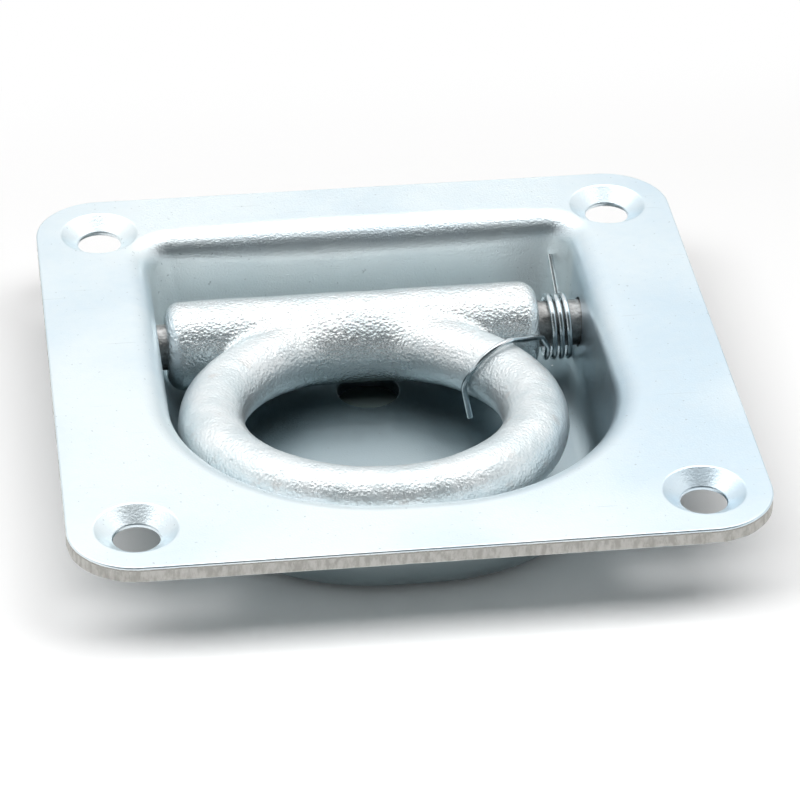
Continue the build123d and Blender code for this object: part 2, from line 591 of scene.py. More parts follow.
        # Painted shade on the sheet's underside.
        return graph.mix(graph.mark(UNDER_MARK) * self.underside_painted_shade_share, colour, self.under)

    def _torn(self, graph: Graph, height: Value, tears: Value) -> Value:
        """Colours the sheared edge, with a dark line along its top just below the rolled corner.

        Args:
            graph: Node tree of the finish's material.
            height: Height in millimetres.
            tears: Noise drawn out up the edge.

        Returns:
            The colour.
        """
        torn = graph.mix(tears.stepped(*self.tears.shows), self.sheared_dark, self.sheared_light)
        # Dark line along the top of the sheared face, broken up by the tears.
        rim = height.stepped(*self.top_dark_line_levels) * tears.stepped(*self.top_dark_line_tears)
        return graph.mix(rim * self.top_dark_line_share, torn, self.top_dark_line)


@dataclass(frozen=True)
class ForgedZinc(Finish):
    """Bright zinc on a rough forging, which glitters where its grain catches the light."""

    name: str = "bright zinc on a forging"
    pale: Triple = (0.84, 0.875, 0.885)
    teal: Triple = (0.64, 0.735, 0.765)
    clouds: Pattern = Pattern(11.0, 3.0, 0.55, 0.34, 0.66)
    clouds_share: float = 0.55
    mottle: Pattern = Pattern(1.8, 4.0, 0.6)
    mottle_share: float = 0.5
    stain: Triple = (0.60, 0.53, 0.49)
    stains: Pattern = Pattern(5.0, 4.0, 0.6, 0.60, 0.72)
    stains_share: float = 0.30
    # Painted shade: the ring darkens towards this colour low down in the recess.
    low: Triple = (0.43, 0.575, 0.61)
    low_shade_levels: Span = (-14.5, -4.0)
    low_shade_share: float = 0.70
    barrel: Span = (8.0, 20.0)
    roughness: Span = (0.16, 0.30)
    bow_roughness: float = 0.14
    dents: Pattern = Pattern(4.5, 2.0)
    dent_depth: float = 0.16
    pit_spacing: float = 3.2
    pit_size: Span = (0.0, 0.13)
    pit_depth: float = 0.08
    bubble_spacing: float = 0.64
    bubble_size: Span = (0.05, 0.75)
    bubble_depth: float = 0.085
    bow_bubbles: float = 0.60
    grain: Pattern = Pattern(0.36, 3.0, 0.62)
    grain_depth: float = 0.15
    bow_grain: float = 0.70
    mirrored: float = 0.89

    def dress(self, graph: Graph) -> None:
        """Builds the finish's nodes.

        Args:
            graph: Node tree of the finish's material.
        """
        place = graph.place()
        mottle = graph.noise(place, self.mottle)
        barrel = graph.along(place, "Y").stepped(*self.barrel)
        tint = graph.patches(place, self.clouds) * self.clouds_share + (mottle - 0.5) * self.mottle_share
        colour = graph.mix(tint, self.pale, self.teal)
        colour = graph.mix(graph.patches(place, self.stains) * self.stains_share, colour, self.stain)
        # Painted shade, darker low down in the recess.
        low_painted_shade = 1.0 - graph.along(place, "Z").stepped(*self.low_shade_levels)
        colour = graph.mix(low_painted_shade * self.low_shade_share, colour, self.low)
        roughness = mottle.between(*self.roughness) + (1.0 - barrel) * self.bow_roughness
        pits = graph.cells(place, self.pit_spacing).stepped(*self.pit_size)
        bubbles = graph.cells(place, self.bubble_spacing).stepped(*self.bubble_size)
        grain = graph.noise(place, self.grain)
        normal = graph.bump(graph.noise(place, self.dents), self.dent_depth)
        normal = graph.bump(pits, self.pit_depth, normal)
        normal = graph.bump(bubbles * barrel.between(self.bow_bubbles, 1.0), self.bubble_depth, normal)
        normal = graph.bump(grain * barrel.between(self.bow_grain, 1.0), self.grain_depth, normal)
        graph.metal(colour, roughness, normal, self.mirrored)


@dataclass(frozen=True)
class DrawnSteel(Finish):
    """Steel with two mottled tones and a fine grain."""

    light: Triple
    dark: Triple
    mottle: Pattern
    grain: Pattern
    grain_depth: float
    roughness: Span

    def dress(self, graph: Graph) -> None:
        """Builds the finish's nodes.

        Args:
            graph: Node tree of the finish's material.
        """
        place = graph.place()
        mottle = graph.noise(place, self.mottle)
        colour = graph.mix(mottle.stepped(*self.mottle.shows), self.light, self.dark)
        normal = graph.bump(graph.noise(place, self.grain), self.grain_depth)
        graph.metal(colour, mottle.between(*self.roughness), normal)


@dataclass(frozen=True)
class PinSteel(DrawnSteel):
    """Dull plated steel, rough at its headed ends."""

    name: str = "dull plated steel"
    light: Triple = (0.52, 0.52, 0.515)
    dark: Triple = (0.26, 0.26, 0.255)
    mottle: Pattern = Pattern(1.6, 4.0, 0.6, 0.28, 0.74)
    grain: Pattern = Pattern(0.45, 3.0, 0.6)
    grain_depth: float = 0.16
    roughness: Span = (0.28, 0.48)


@dataclass(frozen=True)
class SpringSteel(DrawnSteel):
    """Drawn spring wire, smooth and bright with faint die lines."""

    name: str = "drawn spring wire"
    light: Triple = (0.70, 0.75, 0.77)
    dark: Triple = (0.56, 0.63, 0.66)
    mottle: Pattern = Pattern(1.1, 3.0, 0.6, 0.35, 0.70)
    grain: Pattern = Pattern(0.12, 2.0)
    grain_depth: float = 0.004
    roughness: Span = (0.14, 0.27)


@dataclass(frozen=True)
class FloorFinish(Finish):
    """Plain pale floor, shaded under the drain hole and seen through from underneath.

    Where the bowl stands on it the floor lets the plain light from below reach the bowl's
    underside, and far from the object it is plain white to the camera.
    """

    name: str = "plain pale floor"
    colour: Triple = (0.965, 0.962, 0.96)
    shaded: Triple = (0.045, 0.062, 0.062)
    drain: Span = (-0.7, 21.0)
    shade_radius: Span = (12.0, 16.0)
    white_radius: Span = (170.0, 420.0)
    white_behind: Span = (92.0, 150.0)
    drain_radius: Span = (7.0, 8.0)
    bowl_half: float = 33.5
    bowl_front: float = 25.0
    bowl_middle: float = -8.6
    bowl_rim: Span = (0.98, 1.06)
    bowl_back: Span = (36.0, 39.0)

    def dress(self, graph: Graph) -> None:
        """Builds the finish's nodes.

        Args:
            graph: Node tree of the finish's material.
        """
        place = graph.place()
        aside, ahead = graph.along(place, "X"), graph.along(place, "Y")
        from_drain = self._hypotenuse(aside - self.drain[0], ahead - self.drain[1])
        shade = 1.0 - from_drain.stepped(*self.shade_radius)
        colour = graph.mix(shade, self.colour, self.shaded)
        pale = graph.node("ShaderNodeBsdfDiffuse", None, {"Color": colour})
        clear = graph.node("ShaderNodeBsdfTransparent")
        camera = graph.node("ShaderNodeLightPath", output="Is Camera Ray")
        near = 1.0 - from_drain.stepped(*self.white_radius)
        near = near * (1.0 - ahead.stepped(*self.white_behind))
        pale = graph.overlay((1.0 - near) * camera, pale, graph.glow(WHITE))
        past_middle = (ahead - self.bowl_middle).at_most(0.0)
        from_bowl = self._hypotenuse(aside * (1.0 / self.bowl_half), past_middle * (1.0 / self.bowl_front))
        covered = 1.0 - from_bowl.stepped(*self.bowl_rim)
        covered = covered * (1.0 - ahead.stepped(*self.bowl_back))
        covered = covered * from_drain.stepped(*self.drain_radius) * (1.0 - camera)
        pale = graph.overlay(covered, pale, clear)
        from_below = graph.node("ShaderNodeNewGeometry", output="Backfacing")
        graph.end("ShaderNodeOutputMaterial", graph.overlay(from_below, pale, clear))

    @staticmethod
    def _hypotenuse(first: Value, second: Value) -> Value:
        """Length of a flat vector whose two parts are given."""
        return (first * first + second * second) ** 0.5


@dataclass(frozen=True)
class CardFinish(Finish):
    """Dull card that the bright metal mirrors, paler towards its foot."""

    name: str = "dull card"
    foot: Triple = (0.46, 0.54, 0.56)
    body: Triple = (0.085, 0.10, 0.105)
    foot_levels: Span = (40.0, 240.0)

    def dress(self, graph: Graph) -> None:
        """Builds the finish's nodes.

        Args:
            graph: Node tree of the finish's material.
        """
        height = graph.along(graph.place(), "Z")
        colour = graph.mix(height.stepped(*self.foot_levels), self.foot, self.body)
        graph.end("ShaderNodeOutputMaterial", graph.glow(colour))


@dataclass(frozen=True)
class SurroundFinish(CardFinish):
    """Pale wall of a light tent, greyer towards its foot."""

    name: str = "pale wall"
    foot: Triple = (0.50, 0.57, 0.60)
    body: Triple = WHITE
    foot_levels: Span = (0.0, 740.0)


def rounded(centre: Span, radius: float, start: float, end: float, steps: int) -> list[Row]:
    """Rows of a section round an arc, whose normals point away from its centre.

    Args:
        centre: Distance outwards and height of the centre.
        radius: Radius of the arc.
        start: First angle in degrees, from outwards towards up.
        end: Last angle.
        steps: Number of steps.

    Returns:
        The rows.
    """
    rows = []
    for angle in np.radians(np.linspace(start, end, steps + 1)):
        out, up = math.cos(angle), math.sin(angle)
        rows.append((centre[0] + radius * out, centre[1] + radius * up, out, up))
    return rows


class MeshDraft:
    """Points with their own normals, and faces between them, gathered for one closed mesh."""

    WHOLE_HULL = 0
    WELD = 1e-7

    def __init__(self) -> None:
        """Starts with nothing."""
        self.points: list[np.ndarray] = []
        self.normals: list[np.ndarray] = []
        self.sheared: list[np.ndarray] = []
        self.under: list[np.ndarray] = []
        self.faces: list[tuple[int, ...]] = []
        self.count = 0

    def loop(
        self, points: np.ndarray, normals: np.ndarray, sheared: float = 0.0, under: float = 0.0
    ) -> np.ndarray:
        """Adds points.

        Args:
            points: N by 3, in millimetres.
            normals: N by 3, or one normal for all.
            sheared: How far these points belong to the sheared edge.
            under: How far they belong to the underside.

        Returns:
            The points' numbers.
        """
        self.points.append(np.asarray(points, float))
        self.normals.append(np.broadcast_to(normals, points.shape))
        self.sheared.append(np.full(len(points), sheared))
        self.under.append(np.full(len(points), under))
        numbers = np.arange(self.count, self.count + len(points))
        self.count += len(points)
        return numbers

    def gathered(self, numbers: np.ndarray) -> np.ndarray:
        """Looks up points by their numbers."""
        return np.vstack(self.points)[numbers]

    def skin(self, loops: Sequence[np.ndarray], open_at: np.ndarray | None = None) -> None:
        """Joins each closed row of points to the next with four-sided faces.

        Args:
            loops: Numbers of the points of each row, all of one length.
            open_at: True for each point of a row that no face starts at.
        """
        for near, far in zip(loops, loops[1:]):
            faces = np.column_stack([near, np.roll(near, -1), np.roll(far, -1), far])
            self.faces += [tuple(face) for face in (faces if open_at is None else faces[~open_at])]

    def fill(
        self, outer: np.ndarray, holes: Sequence[np.ndarray], between: np.ndarray | None = None
    ) -> None:
        """Fills a nearly level outline round its holes with triangles.

        Args:
            outer: Numbers of the outer outline.
            holes: Numbers of each hole's outline.
            between: Numbers of further points; those in a hole are left out.
        """
        every = np.vstack(self.points)
        outlines = [outer, *holes]
        numbers = np.concatenate(outlines)
        if between is not None:
            in_hole = np.zeros(len(between), bool)
            for hole in holes:
                in_hole |= self._inside(every[between][:, :2], every[hole][:, :2])
            numbers = np.concatenate([numbers, between[~in_hole]])
        flat = every[numbers][:, :2]
        edges = []
        start = 0
        for outline in outlines:
            size = len(outline)
            edges += [(start + step, start + (step + 1) % size) for step in range(size)]
            start += size
        _, _, faces, origins, *_ = delaunay_2d_cdt(
            [Vector(place) for place in flat], edges, [], self.WHOLE_HULL, self.WELD, True
        )
        source = np.array([origin[0] for origin in origins])
        corners = source[np.array(faces)]
        middles = flat[corners].mean(axis=1)
        kept = self._inside(middles, every[outer][:, :2])
        for hole in holes:
            kept &= ~self._inside(middles, every[hole][:, :2])
        self.faces += [tuple(numbers[corner] for corner in face) for face in corners[kept]]

    @staticmethod
    def _inside(places: np.ndarray, outline: np.ndarray) -> np.ndarray:
        """Tells which places lie inside a closed outline.

        Args:
            places: N by 2.
            outline: M by 2, in order.

        Returns:
            N truth values.
        """
        after = np.roll(outline, -1, axis=0)
        x, y = places[:, :1], places[:, 1:]
        rises = (outline[:, 1] > y) != (after[:, 1] > y)
        run = np.where(after[:, 1] == outline[:, 1], 1.0, after[:, 1] - outline[:, 1])
        crossing = outline[:, 0] + (y - outline[:, 1]) * (after[:, 0] - outline[:, 0]) / run
        return (rises & (x < crossing)).sum(axis=1) % 2 == 1

    def build(self, name: str, finish: Finish) -> bpy.types.Object:
        """Makes the mesh and its object.

        Args:
            name: Name of the object.
            finish: Its finish.

        Returns:
            The object, at the origin.
        """
        used = np.unique(np.concatenate([np.array(face) for face in self.faces]))
        renumbered = np.full(self.count, -1)
        renumbered[used] = np.arange(len(used))
        points = np.vstack(self.points)[used] * MM
        mesh = bpy.data.meshes.new(name)
        mesh.from_pydata(points.tolist(), [], [renumbered[list(face)].tolist() for face in self.faces])
        turned = bmesh.new()
        turned.from_mesh(mesh)
        bmesh.ops.recalc_face_normals(turned, faces=turned.faces)
        turned.to_mesh(mesh)
        turned.free()
        for mark, given in ((SHEARED_MARK, self.sheared), (UNDER_MARK, self.under)):
            marks = mesh.attributes.new(mark, "FLOAT", "POINT")
            marks.data.foreach_set("value", np.concatenate(given)[used].astype(np.float32))
        smooth(mesh)
        mesh.normals_split_custom_set_from_vertices(unit(np.vstack(self.normals)[used]).tolist())
        mesh.materials.append(finish.material())
        return shown(name, mesh)


@dataclass
class Outline:
    """The recess's outline at its mouth and at its floor, point for point."""

    mouth: np.ndarray
    floor: np.ndarray
    outward: np.ndarray


@dataclass
class Pan:
    """Pressed pan: flange, countersunk holes, drawn recess, drain hole and pin holes."""

    finish: Finish
    sheet: float = 3.0
    flange_corner: float = 12.0
    side_flange: float = 20.0
    back_flange: float = 16.1
    front_flange: float = 15.1
    hole_inset: float = 11.75
    hole_radius: float = 4.0
    countersink_radius: float = 7.2
    countersink_angle: float = 110.0
    rim_rounding: Triple = (0.3, 0.12, 0.5)
    side_draft: float = 4.0
    back_draft: float = 5.0
    front_draft: float = 19.0
    front_flat_half: float = 3.7
    back_corner_at_mouth: float = 4.0
    back_corner_at_floor: float = 6.5
    lip: float = 5.0
    lip_swell: float = 1.5
    lip_swell_fade: float = 6.0
    lip_tightening: float = 0.5
    lip_reach: float = 0.9
    bend: float = 5.0
    drain_radius: float = 5.75
    drain_x: float = -0.7
    drain_from_pin: float = 5.0
    pin_y: float = 26.0
    pin_z: float = -9.0
    pin_hole_radius: float = 4.6
    pin_patch_half: float = 8.0
    die_roll: float = 0.35
    sheared_from: float = 0.2
    sheared_corner: float = 0.6
    small_edge: float = 0.25
    nick_depth: float = 0.16
    nick_grain: Triple = (0.45, 0.45, 0.8)
    nick_strength: float = 1.6
    nick_shift: float = 31.0
    lip_steps: int = 14
    open_lip_steps: int = 5
    wall_steps: int = 10
    bend_steps: int = 12
    patch_steps: int = 20
    patch_bend_rows: int = 4
    patch_rings: int = 4
    ahead_steps: int = 20
    behind_steps: int = 7
    back_steps: int = 26
    front_steps: int = 7
    back_corner_steps: int = 18
    front_corner_steps: int = 60
    flange_corner_steps: int = 24
    flange_side_steps: int = 90
    sheared_rows: int = 6
    hole_steps: int = 72
    fit_rounds: int = 6

    def __post_init__(self) -> None:
        """Takes the flange's size and the pan's depth from the frame."""
        low, high = box_mm(Piece.PAN)
        self.half_side = high[0]
        self.top = high[2]
        self.bottom = low[2]
        self.floor_top = self.bottom + self.sheet
        self.depth = self.top - self.floor_top
        self.half_width = self.half_side - self.side_flange
        self.back = self.half_side - self.back_flange
        self.front = self.front_flange - self.half_side
        self.draft = MeshDraft()

    def half_width_at(self, level: float) -> float:
        """Distance of a side wall from the middle at a height."""
        return self.half_width - (self.top - level) * math.tan(math.radians(self.side_draft))

    def back_at(self, level: float) -> float:
        """Y of the back wall at a height."""
        return self.back - (self.top - level) * math.tan(math.radians(self.back_draft))

    def front_at(self, level: float) -> float:
        """Y of the sloping front wall at a height."""
        return self.front + (self.top - level) * math.tan(math.radians(self.front_draft))

    def back_corner_at(self, level: float) -> float:
        """Radius of the back corners at a height."""
        share = (self.top - level) / self.depth
        return self.back_corner_at_mouth + share * (self.back_corner_at_floor - self.back_corner_at_mouth)

    def build(self) -> bpy.types.Object:
        """Builds and dresses the pan.

        Returns:
            The pan.
        """
        outline = self._outline()
        upper, lower = self._recess(outline)
        top_rim, bottom_rim = self._outer_edge()
        lip_start = self.draft.gathered(upper[0])
        holes = [self._fixing_hole(x, y, lip_start, outline) for x in (-1, 1) for y in (-1, 1)]
        drain = self._drain()
        lip_rows = np.concatenate(upper[: self.open_lip_steps])
        self.draft.fill(top_rim, [upper[self.open_lip_steps], *(hole[0] for hole in holes)], lip_rows)
        self.draft.fill(bottom_rim, [lower[0], *(hole[-1] for hole in holes)])
        self.draft.fill(upper[-1], [drain[0]])
        self.draft.fill(lower[-1], [drain[-1]])
        return self.draft.build(Piece.PAN.dressed, self.finish)

    def _outline(self) -> Outline:
        """Samples the D-shaped outline, counter-clockwise from the front end of the right side.

        Returns:
            The outline.
        """
        sections = []
        for level in (self.top, self.floor_top):
            wide, back, front = self.half_width_at(level), self.back_at(level), self.front_at(level)
            corner = self.back_corner_at(level)
            narrow = self.front_flat_half
            sweep = wide - narrow
            side_y = self._side_samples(front + sweep, back - corner)
            back_x = np.linspace(wide - corner, corner - wide, self.back_steps)
            front_x = np.linspace(-narrow, narrow, self.front_steps)
            parts = [
                self._straight(wide, side_y, (1.0, 0.0)),
                self._corner((wide - corner, back - corner), corner, 0.0, self.back_corner_steps),
                self._straight(back_x, back, (0.0, 1.0)),
                self._corner((corner - wide, back - corner), corner, 90.0, self.back_corner_steps),
                self._straight(-wide, side_y[::-1], (-1.0, 0.0)),
                self._corner((-narrow, front + sweep), sweep, 180.0, self.front_corner_steps),
                self._straight(front_x, front, (0.0, -1.0)),
                self._corner((narrow, front + sweep), sweep, 270.0, self.front_corner_steps),
            ]
            sections.append(np.vstack(parts))
        mouth, floor = sections
        return Outline(mouth[:, :2], floor[:, :2], mouth[:, 2:])

    def _side_samples(self, start: float, end: float) -> np.ndarray:
        """Y of the points along the right side, which keep their places beside the pin hole.

        Args:
            start: Front end of the side.
            end: Back end of the side.

        Returns:
            The points' Y, from front to back.
        """
        near, far = self.pin_y - self.pin_patch_half, self.pin_y + self.pin_patch_half
        ahead = np.linspace(start, near, self.ahead_steps, endpoint=False)
        beside = np.linspace(near, far, self.patch_steps, endpoint=False)
        behind = np.linspace(far, end, self.behind_steps)
        return np.concatenate([ahead, beside, behind])

    @staticmethod
    def _straight(x: np.ndarray | float, y: np.ndarray | float, outward: Span) -> np.ndarray:
        """Points of a straight side with their normal, without the last one, which the corner has."""
        return np.column_stack(np.broadcast_arrays(x, y, *outward))[:-1]

    @staticmethod
    def _corner(centre: Span, radius: float, start: float, steps: int) -> np.ndarray:
        """Points of a quarter round with their normals, without the last one.

        Args:
            centre: Centre of the quarter round.
            radius: Its radius.
            start: Angle it starts at, in degrees.
            steps: Number of spans.

        Returns:
            Rows of x, y and the normal's two parts.
        """
        angles = np.radians(start + np.linspace(0.0, 90.0, steps + 1))[:-1]
        outward = np.column_stack([np.cos(angles), np.sin(angles)])
        return np.column_stack([np.array(centre) + radius * outward, outward])

    def _section(self, outline: Outline) -> list[tuple[np.ndarray, np.ndarray]]:
        """Works out the recess's upper face: lip, wall and floor bend.

        Args:
            outline: The recess's outline.

        Returns:
            Points and normals of each row, from the flange to the floor.
        """
        run = outline.mouth - outline.floor
        slope = run / self.depth
        lean = np.arctan((run * outline.outward).sum(axis=1) / self.depth)

        def wall_point(level: np.ndarray) -> np.ndarray:
            """Points of the wall at each point's own height."""
            flat = outline.floor + slope * (level - self.floor_top)[:, None]
            return np.column_stack([flat, level])

        def facing(tilt: np.ndarray) -> np.ndarray:
            """Normals tilted from straight up towards the middle of the recess."""
            return np.column_stack([-outline.outward * np.sin(tilt)[:, None], np.cos(tilt)])

        full_tilt = np.pi / 2 - lean
        lip = self._lip_radius(outline)
        lip_level = self.top - lip + lip * np.sin(lean)
        bend_level = self.floor_top + self.bend - self.bend * np.sin(lean)
        wall_normal = facing(full_tilt)
        lip_centre = wall_point(lip_level) - lip[:, None] * wall_normal
        bend_centre = wall_point(bend_level) + self.bend * wall_normal

        rows = []
        for share in np.linspace(0.0, 1.0, self.lip_steps + 1):
            normal = facing(full_tilt * share)
            rows.append((lip_centre + lip[:, None] * normal, normal))
        for share in np.linspace(0.0, 1.0, self.wall_steps + 1)[1:]:
            rows.append((wall_point(lip_level + (bend_level - lip_level) * share), wall_normal))
        for share in np.linspace(1.0, 0.0, self.bend_steps + 1)[1:]:
            normal = facing(full_tilt * share)
            rows.append((bend_centre - self.bend * normal, normal))
        return rows

    def _recess(self, outline: Outline) -> tuple[list[np.ndarray], list[np.ndarray]]:
        """Builds both faces of the drawn recess, open round the pin holes until those are built.

        Args:
            outline: The recess's outline.

        Returns:
            Rows of point numbers from the flange to the floor, of the upper and of the lower face.
        """
        section = self._section(outline)
        upper = [self.draft.loop(points, normals) for points, normals in section]
        lower = [
            self.draft.loop(points - self.sheet * normals, -normals, under=1.0)
            for points, normals in section
        ]
        first_row = self.lip_steps + 1
        last_row = self.lip_steps + self.wall_steps + self.patch_bend_rows
        patches = {1: self.ahead_steps, -1: self._left_patch_start(outline)}
        in_patch = np.zeros(len(outline.mouth), bool)
        for start in patches.values():
            in_patch[start : start + self.patch_steps] = True
        for rows, opened in ((upper, self.open_lip_steps), (lower, 0)):
            self.draft.skin(rows[opened : first_row + 1])
            self.draft.skin(rows[first_row : last_row + 1], in_patch)
            self.draft.skin(rows[last_row:])
        for side, start in patches.items():
            rims = [self._patch_border(rows, first_row, last_row, start) for rows in (upper, lower)]
            self._pin_hole(side, *rims)
        return upper, lower

    def _lip_radius(self, outline: Outline) -> np.ndarray:
        """Radius of the lip round the outline, widest in the middle of the back and tight at its ends.

        Args:
            outline: The recess's outline.

        Returns:
            One radius for each point of the outline.
        """
        across = np.clip(np.abs(outline.mouth[:, 0]) / self.half_width, 0.0, 1.0)
        swell = self.lip_swell * (1.0 - across**2) - self.lip_tightening * across**4
        fade = self.lip_swell_fade
        on_back = np.clip(outline.mouth[:, 1] / self.back * fade - (fade - 1.0), 0.0, 1.0)
        return self.lip + swell * on_back * (3.0 - 2.0 * on_back) * on_back

    def _left_patch_start(self, outline: Outline) -> int:
        """Finds where the left side's patch round the pin hole starts.

        Args:
            outline: Outline of the recess.

        Returns:
            Number of the outline's point.
        """
        faces_left = outline.outward[:, 0] == -1.0
        at_start = np.isclose(outline.mouth[:, 1], self.pin_y + self.pin_patch_half)
        return int(np.flatnonzero(faces_left & at_start)[0])

    def _patch_border(self, rows: list[np.ndarray], first: int, last: int, start: int) -> np.ndarray:
        """Numbers of the points round a patch, in order.

        Args:
            rows: Rows of point numbers.
            first: The patch's first row.
            last: The patch's last row.
            start: The patch's first column.

        Returns:
            The numbers.
        """
        end = start + self.patch_steps
        ahead = [rows[first][column] for column in range(start, end)]
        down = [rows[row][end] for row in range(first, last)]
        back = [rows[last][column] for column in range(end, start, -1)]
        up = [rows[row][start] for row in range(last, first, -1)]
        return np.array(ahead + down + back + up)

    def _side_surface(self, side: int, places: np.ndarray, under: bool) -> tuple[np.ndarray, np.ndarray]:
        """Lays places in the YZ plane on a side wall or the floor bend below it.

        Args:
            side: 1 for the right wall, -1 for the left.
            places: N by 2, Y and Z.
            under: Whether the sheet's lower face is meant.

        Returns:
            Points and normals, N by 3.
        """
        lean = math.radians(self.side_draft)
        shift = self.sheet if under else 0.0
        bend_level = self.floor_top + self.bend * (1.0 - math.sin(lean))
        centre_x = self.half_width_at(bend_level) - self.bend * math.cos(lean)
        centre_z = self.floor_top + self.bend
        height = places[:, 1]
        on_wall_x = np.array([self.half_width_at(z + shift * math.sin(lean)) for z in height])
        on_wall_x += shift * math.cos(lean)
        up = np.clip((centre_z - height) / (self.bend + shift), math.sin(lean), 1.0)
        across = np.sqrt(1.0 - up**2)
        bent = height < centre_z - (self.bend + shift) * math.sin(lean)
        x = np.where(bent, centre_x + (self.bend + shift) * across, on_wall_x)
        normal_x = np.where(bent, -across, -math.cos(lean))
        normal_z = np.where(bent, up, math.sin(lean))
        points = np.column_stack([side * x, places])
        normals = np.column_stack([side * normal_x, np.zeros(len(x)), normal_z])
        return points, -normals if under else normals

    def _pin_hole(self, side: int, upper_rim: np.ndarray, lower_rim: np.ndarray) -> None:
        """Closes the patch round a pin hole on both faces of the sheet and joins them by the bore.

        Args:
            side: 1 for the right wall, -1 for the left.
            upper_rim: Numbers of the points round the patch on the upper face.
            lower_rim: The same on the lower face.
        """
        axis = np.array([self.pin_y, self.pin_z])
        bores = []
        for rim, under in ((upper_rim, False), (lower_rim, True)):
            border = self.draft.gathered(rim)[:, 1:]
            toward = unit(border - axis)
            edge = axis + toward * (self.pin_hole_radius + self.small_edge)
            rings = [rim]
            for share in np.linspace(0.0, 1.0, self.patch_rings + 1)[1:]:
                points, normals = self._side_surface(side, border + (edge - border) * share, under)
                rings.append(self.draft.loop(points, normals, under=float(under)))
            points, _ = self._side_surface(side, axis + toward * self.pin_hole_radius, under)
            points[:, 0] += side * (-self.small_edge if under else self.small_edge)
            inward = np.column_stack([np.zeros(len(toward)), -toward])
            bores.append(self.draft.loop(points, inward))
            self.draft.skin([*rings, bores[-1]])
        self.draft.skin(bores)

    def _outer_edge(self) -> tuple[np.ndarray, np.ndarray]:
        """Builds the flange's outer edge, rolled at its top and torn by the shear below.

        Returns:
            Numbers of the points of the top face's and the bottom face's outline.
        """
        inner = self.half_side - self.flange_corner
        parts = []
        for start, (x, y) in zip((0.0, 90.0, 180.0, 270.0), ((1, 1), (-1, 1), (-1, -1), (1, -1))):
            centre = (x * inner, y * inner)
            parts.append(self._corner(centre, self.flange_corner, start, self.flange_corner_steps))
            angle = math.radians(start + 90.0)
            outward = np.array([math.cos(angle), math.sin(angle)])
            along = np.array([-outward[1], outward[0]])
            begin = np.array(centre) + self.flange_corner * outward
            steps = np.linspace(0.0, 2 * inner, self.flange_side_steps)[:-1, None]
            parts.append(np.hstack([begin + steps * along, np.tile(outward, (len(steps), 1))]))
        outline = np.vstack(parts)
        flat, outward = outline[:, :2], outline[:, 2:]

        loops = []
        for inset, level, out, up, mark in self._edge_rows():
            nick = self._nicks(flat, level) * self.nick_depth * mark
            points = np.column_stack([flat - outward * (inset + nick)[:, None], np.full(len(flat), level)])
            normals = np.column_stack([outward * out, np.full(len(flat), up)])
            loops.append(self.draft.loop(points, normals, mark, float(up < FACES_DOWN)))
        self.draft.skin(loops)
        return loops[0], loops[-1]

    def _edge_rows(self) -> list[tuple[float, float, float, float, float]]:
        """Section of the flange's outer edge: rolled corner, sheared face and burred corner.

        Returns:
            Rows of inset, height, the normal's part outwards and upwards, and how sheared it is.
        """
        roll, low = self.die_roll, self.small_edge
        rows: list[tuple[float, float, float, float, float]] = []
        for angle in np.radians([90.0, 67.5, 45.0, 22.5, 0.0]):
            out, up = math.cos(angle), math.sin(angle)
            rows.append((roll * (1 - out), self.top - roll * (1 - up), out, up, 0.0))
        for level in np.linspace(self.top - roll - self.sheared_from, low, self.sheared_rows):
            rows.append((0.0, float(level), 1.0, 0.0, 1.0))
        for angle in np.radians([-45.0, -90.0]):
            out, up = math.cos(angle), math.sin(angle)
            rows.append((low * (1 - out), low * (1 + up), out, up, self.sheared_corner))
        return rows

    def _nicks(self, flat: np.ndarray, level: float) -> np.ndarray:
        """How far the sheared edge is torn back, from zero to one, at places along it.

        Args:
            flat: N by 2 places.
            level: Height on the edge.

        Returns:
            N shares of the greatest depth.
        """
        across, along, up = self.nick_grain
        shift = self.nick_shift
        found = [noise.noise(Vector((x * across + shift, y * along, level * up))) for x, y in flat]
        return np.clip(np.array(found) * self.nick_strength, 0.0, 1.0)

    def _turned(self, rows: Sequence[Row], centre: Span) -> list[np.ndarray]:
        """Turns a section about an upright axis.

        Args:
            rows: The section's rows.
            centre: X and Y of the axis.

        Returns:
            Numbers of the points of each row.
        """
        steps = self.hole_steps
        around = circle(steps)
        loops = []
        for radius, level, out, up in rows:
            points = np.column_stack([np.array(centre) + radius * around, np.full(steps, level)])
            facing = np.column_stack([around * out, np.full(steps, up)])
            loops.append(self.draft.loop(points, facing, under=float(up < FACES_DOWN)))
        self.draft.skin(loops)
        return loops

    def _fixing_hole(
        self, side_x: int, side_y: int, lip_start: np.ndarray, outline: Outline
    ) -> list[np.ndarray]:
        """Builds one countersunk fixing hole, whose rim dips where it meets the recess's lip.

        Args:
            side_x: 1 or -1, the side of the flange.
            side_y: 1 or -1, the end of the flange.
            lip_start: Points where the lip leaves the flange's flat top.
            outline: The recess's outline.

        Returns:
            Rows of point numbers from the top face to the bottom face.
        """
        steps = self.hole_steps
        half = math.radians(self.countersink_angle / 2)
        normal = (-math.cos(half), math.sin(half))
        land = self.top - (self.countersink_radius - self.hole_radius) / math.tan(half)
        edge = self.small_edge
        place = self.half_side - self.hole_inset
        centre = np.array([side_x * place, side_y * place])
        around = circle(steps)

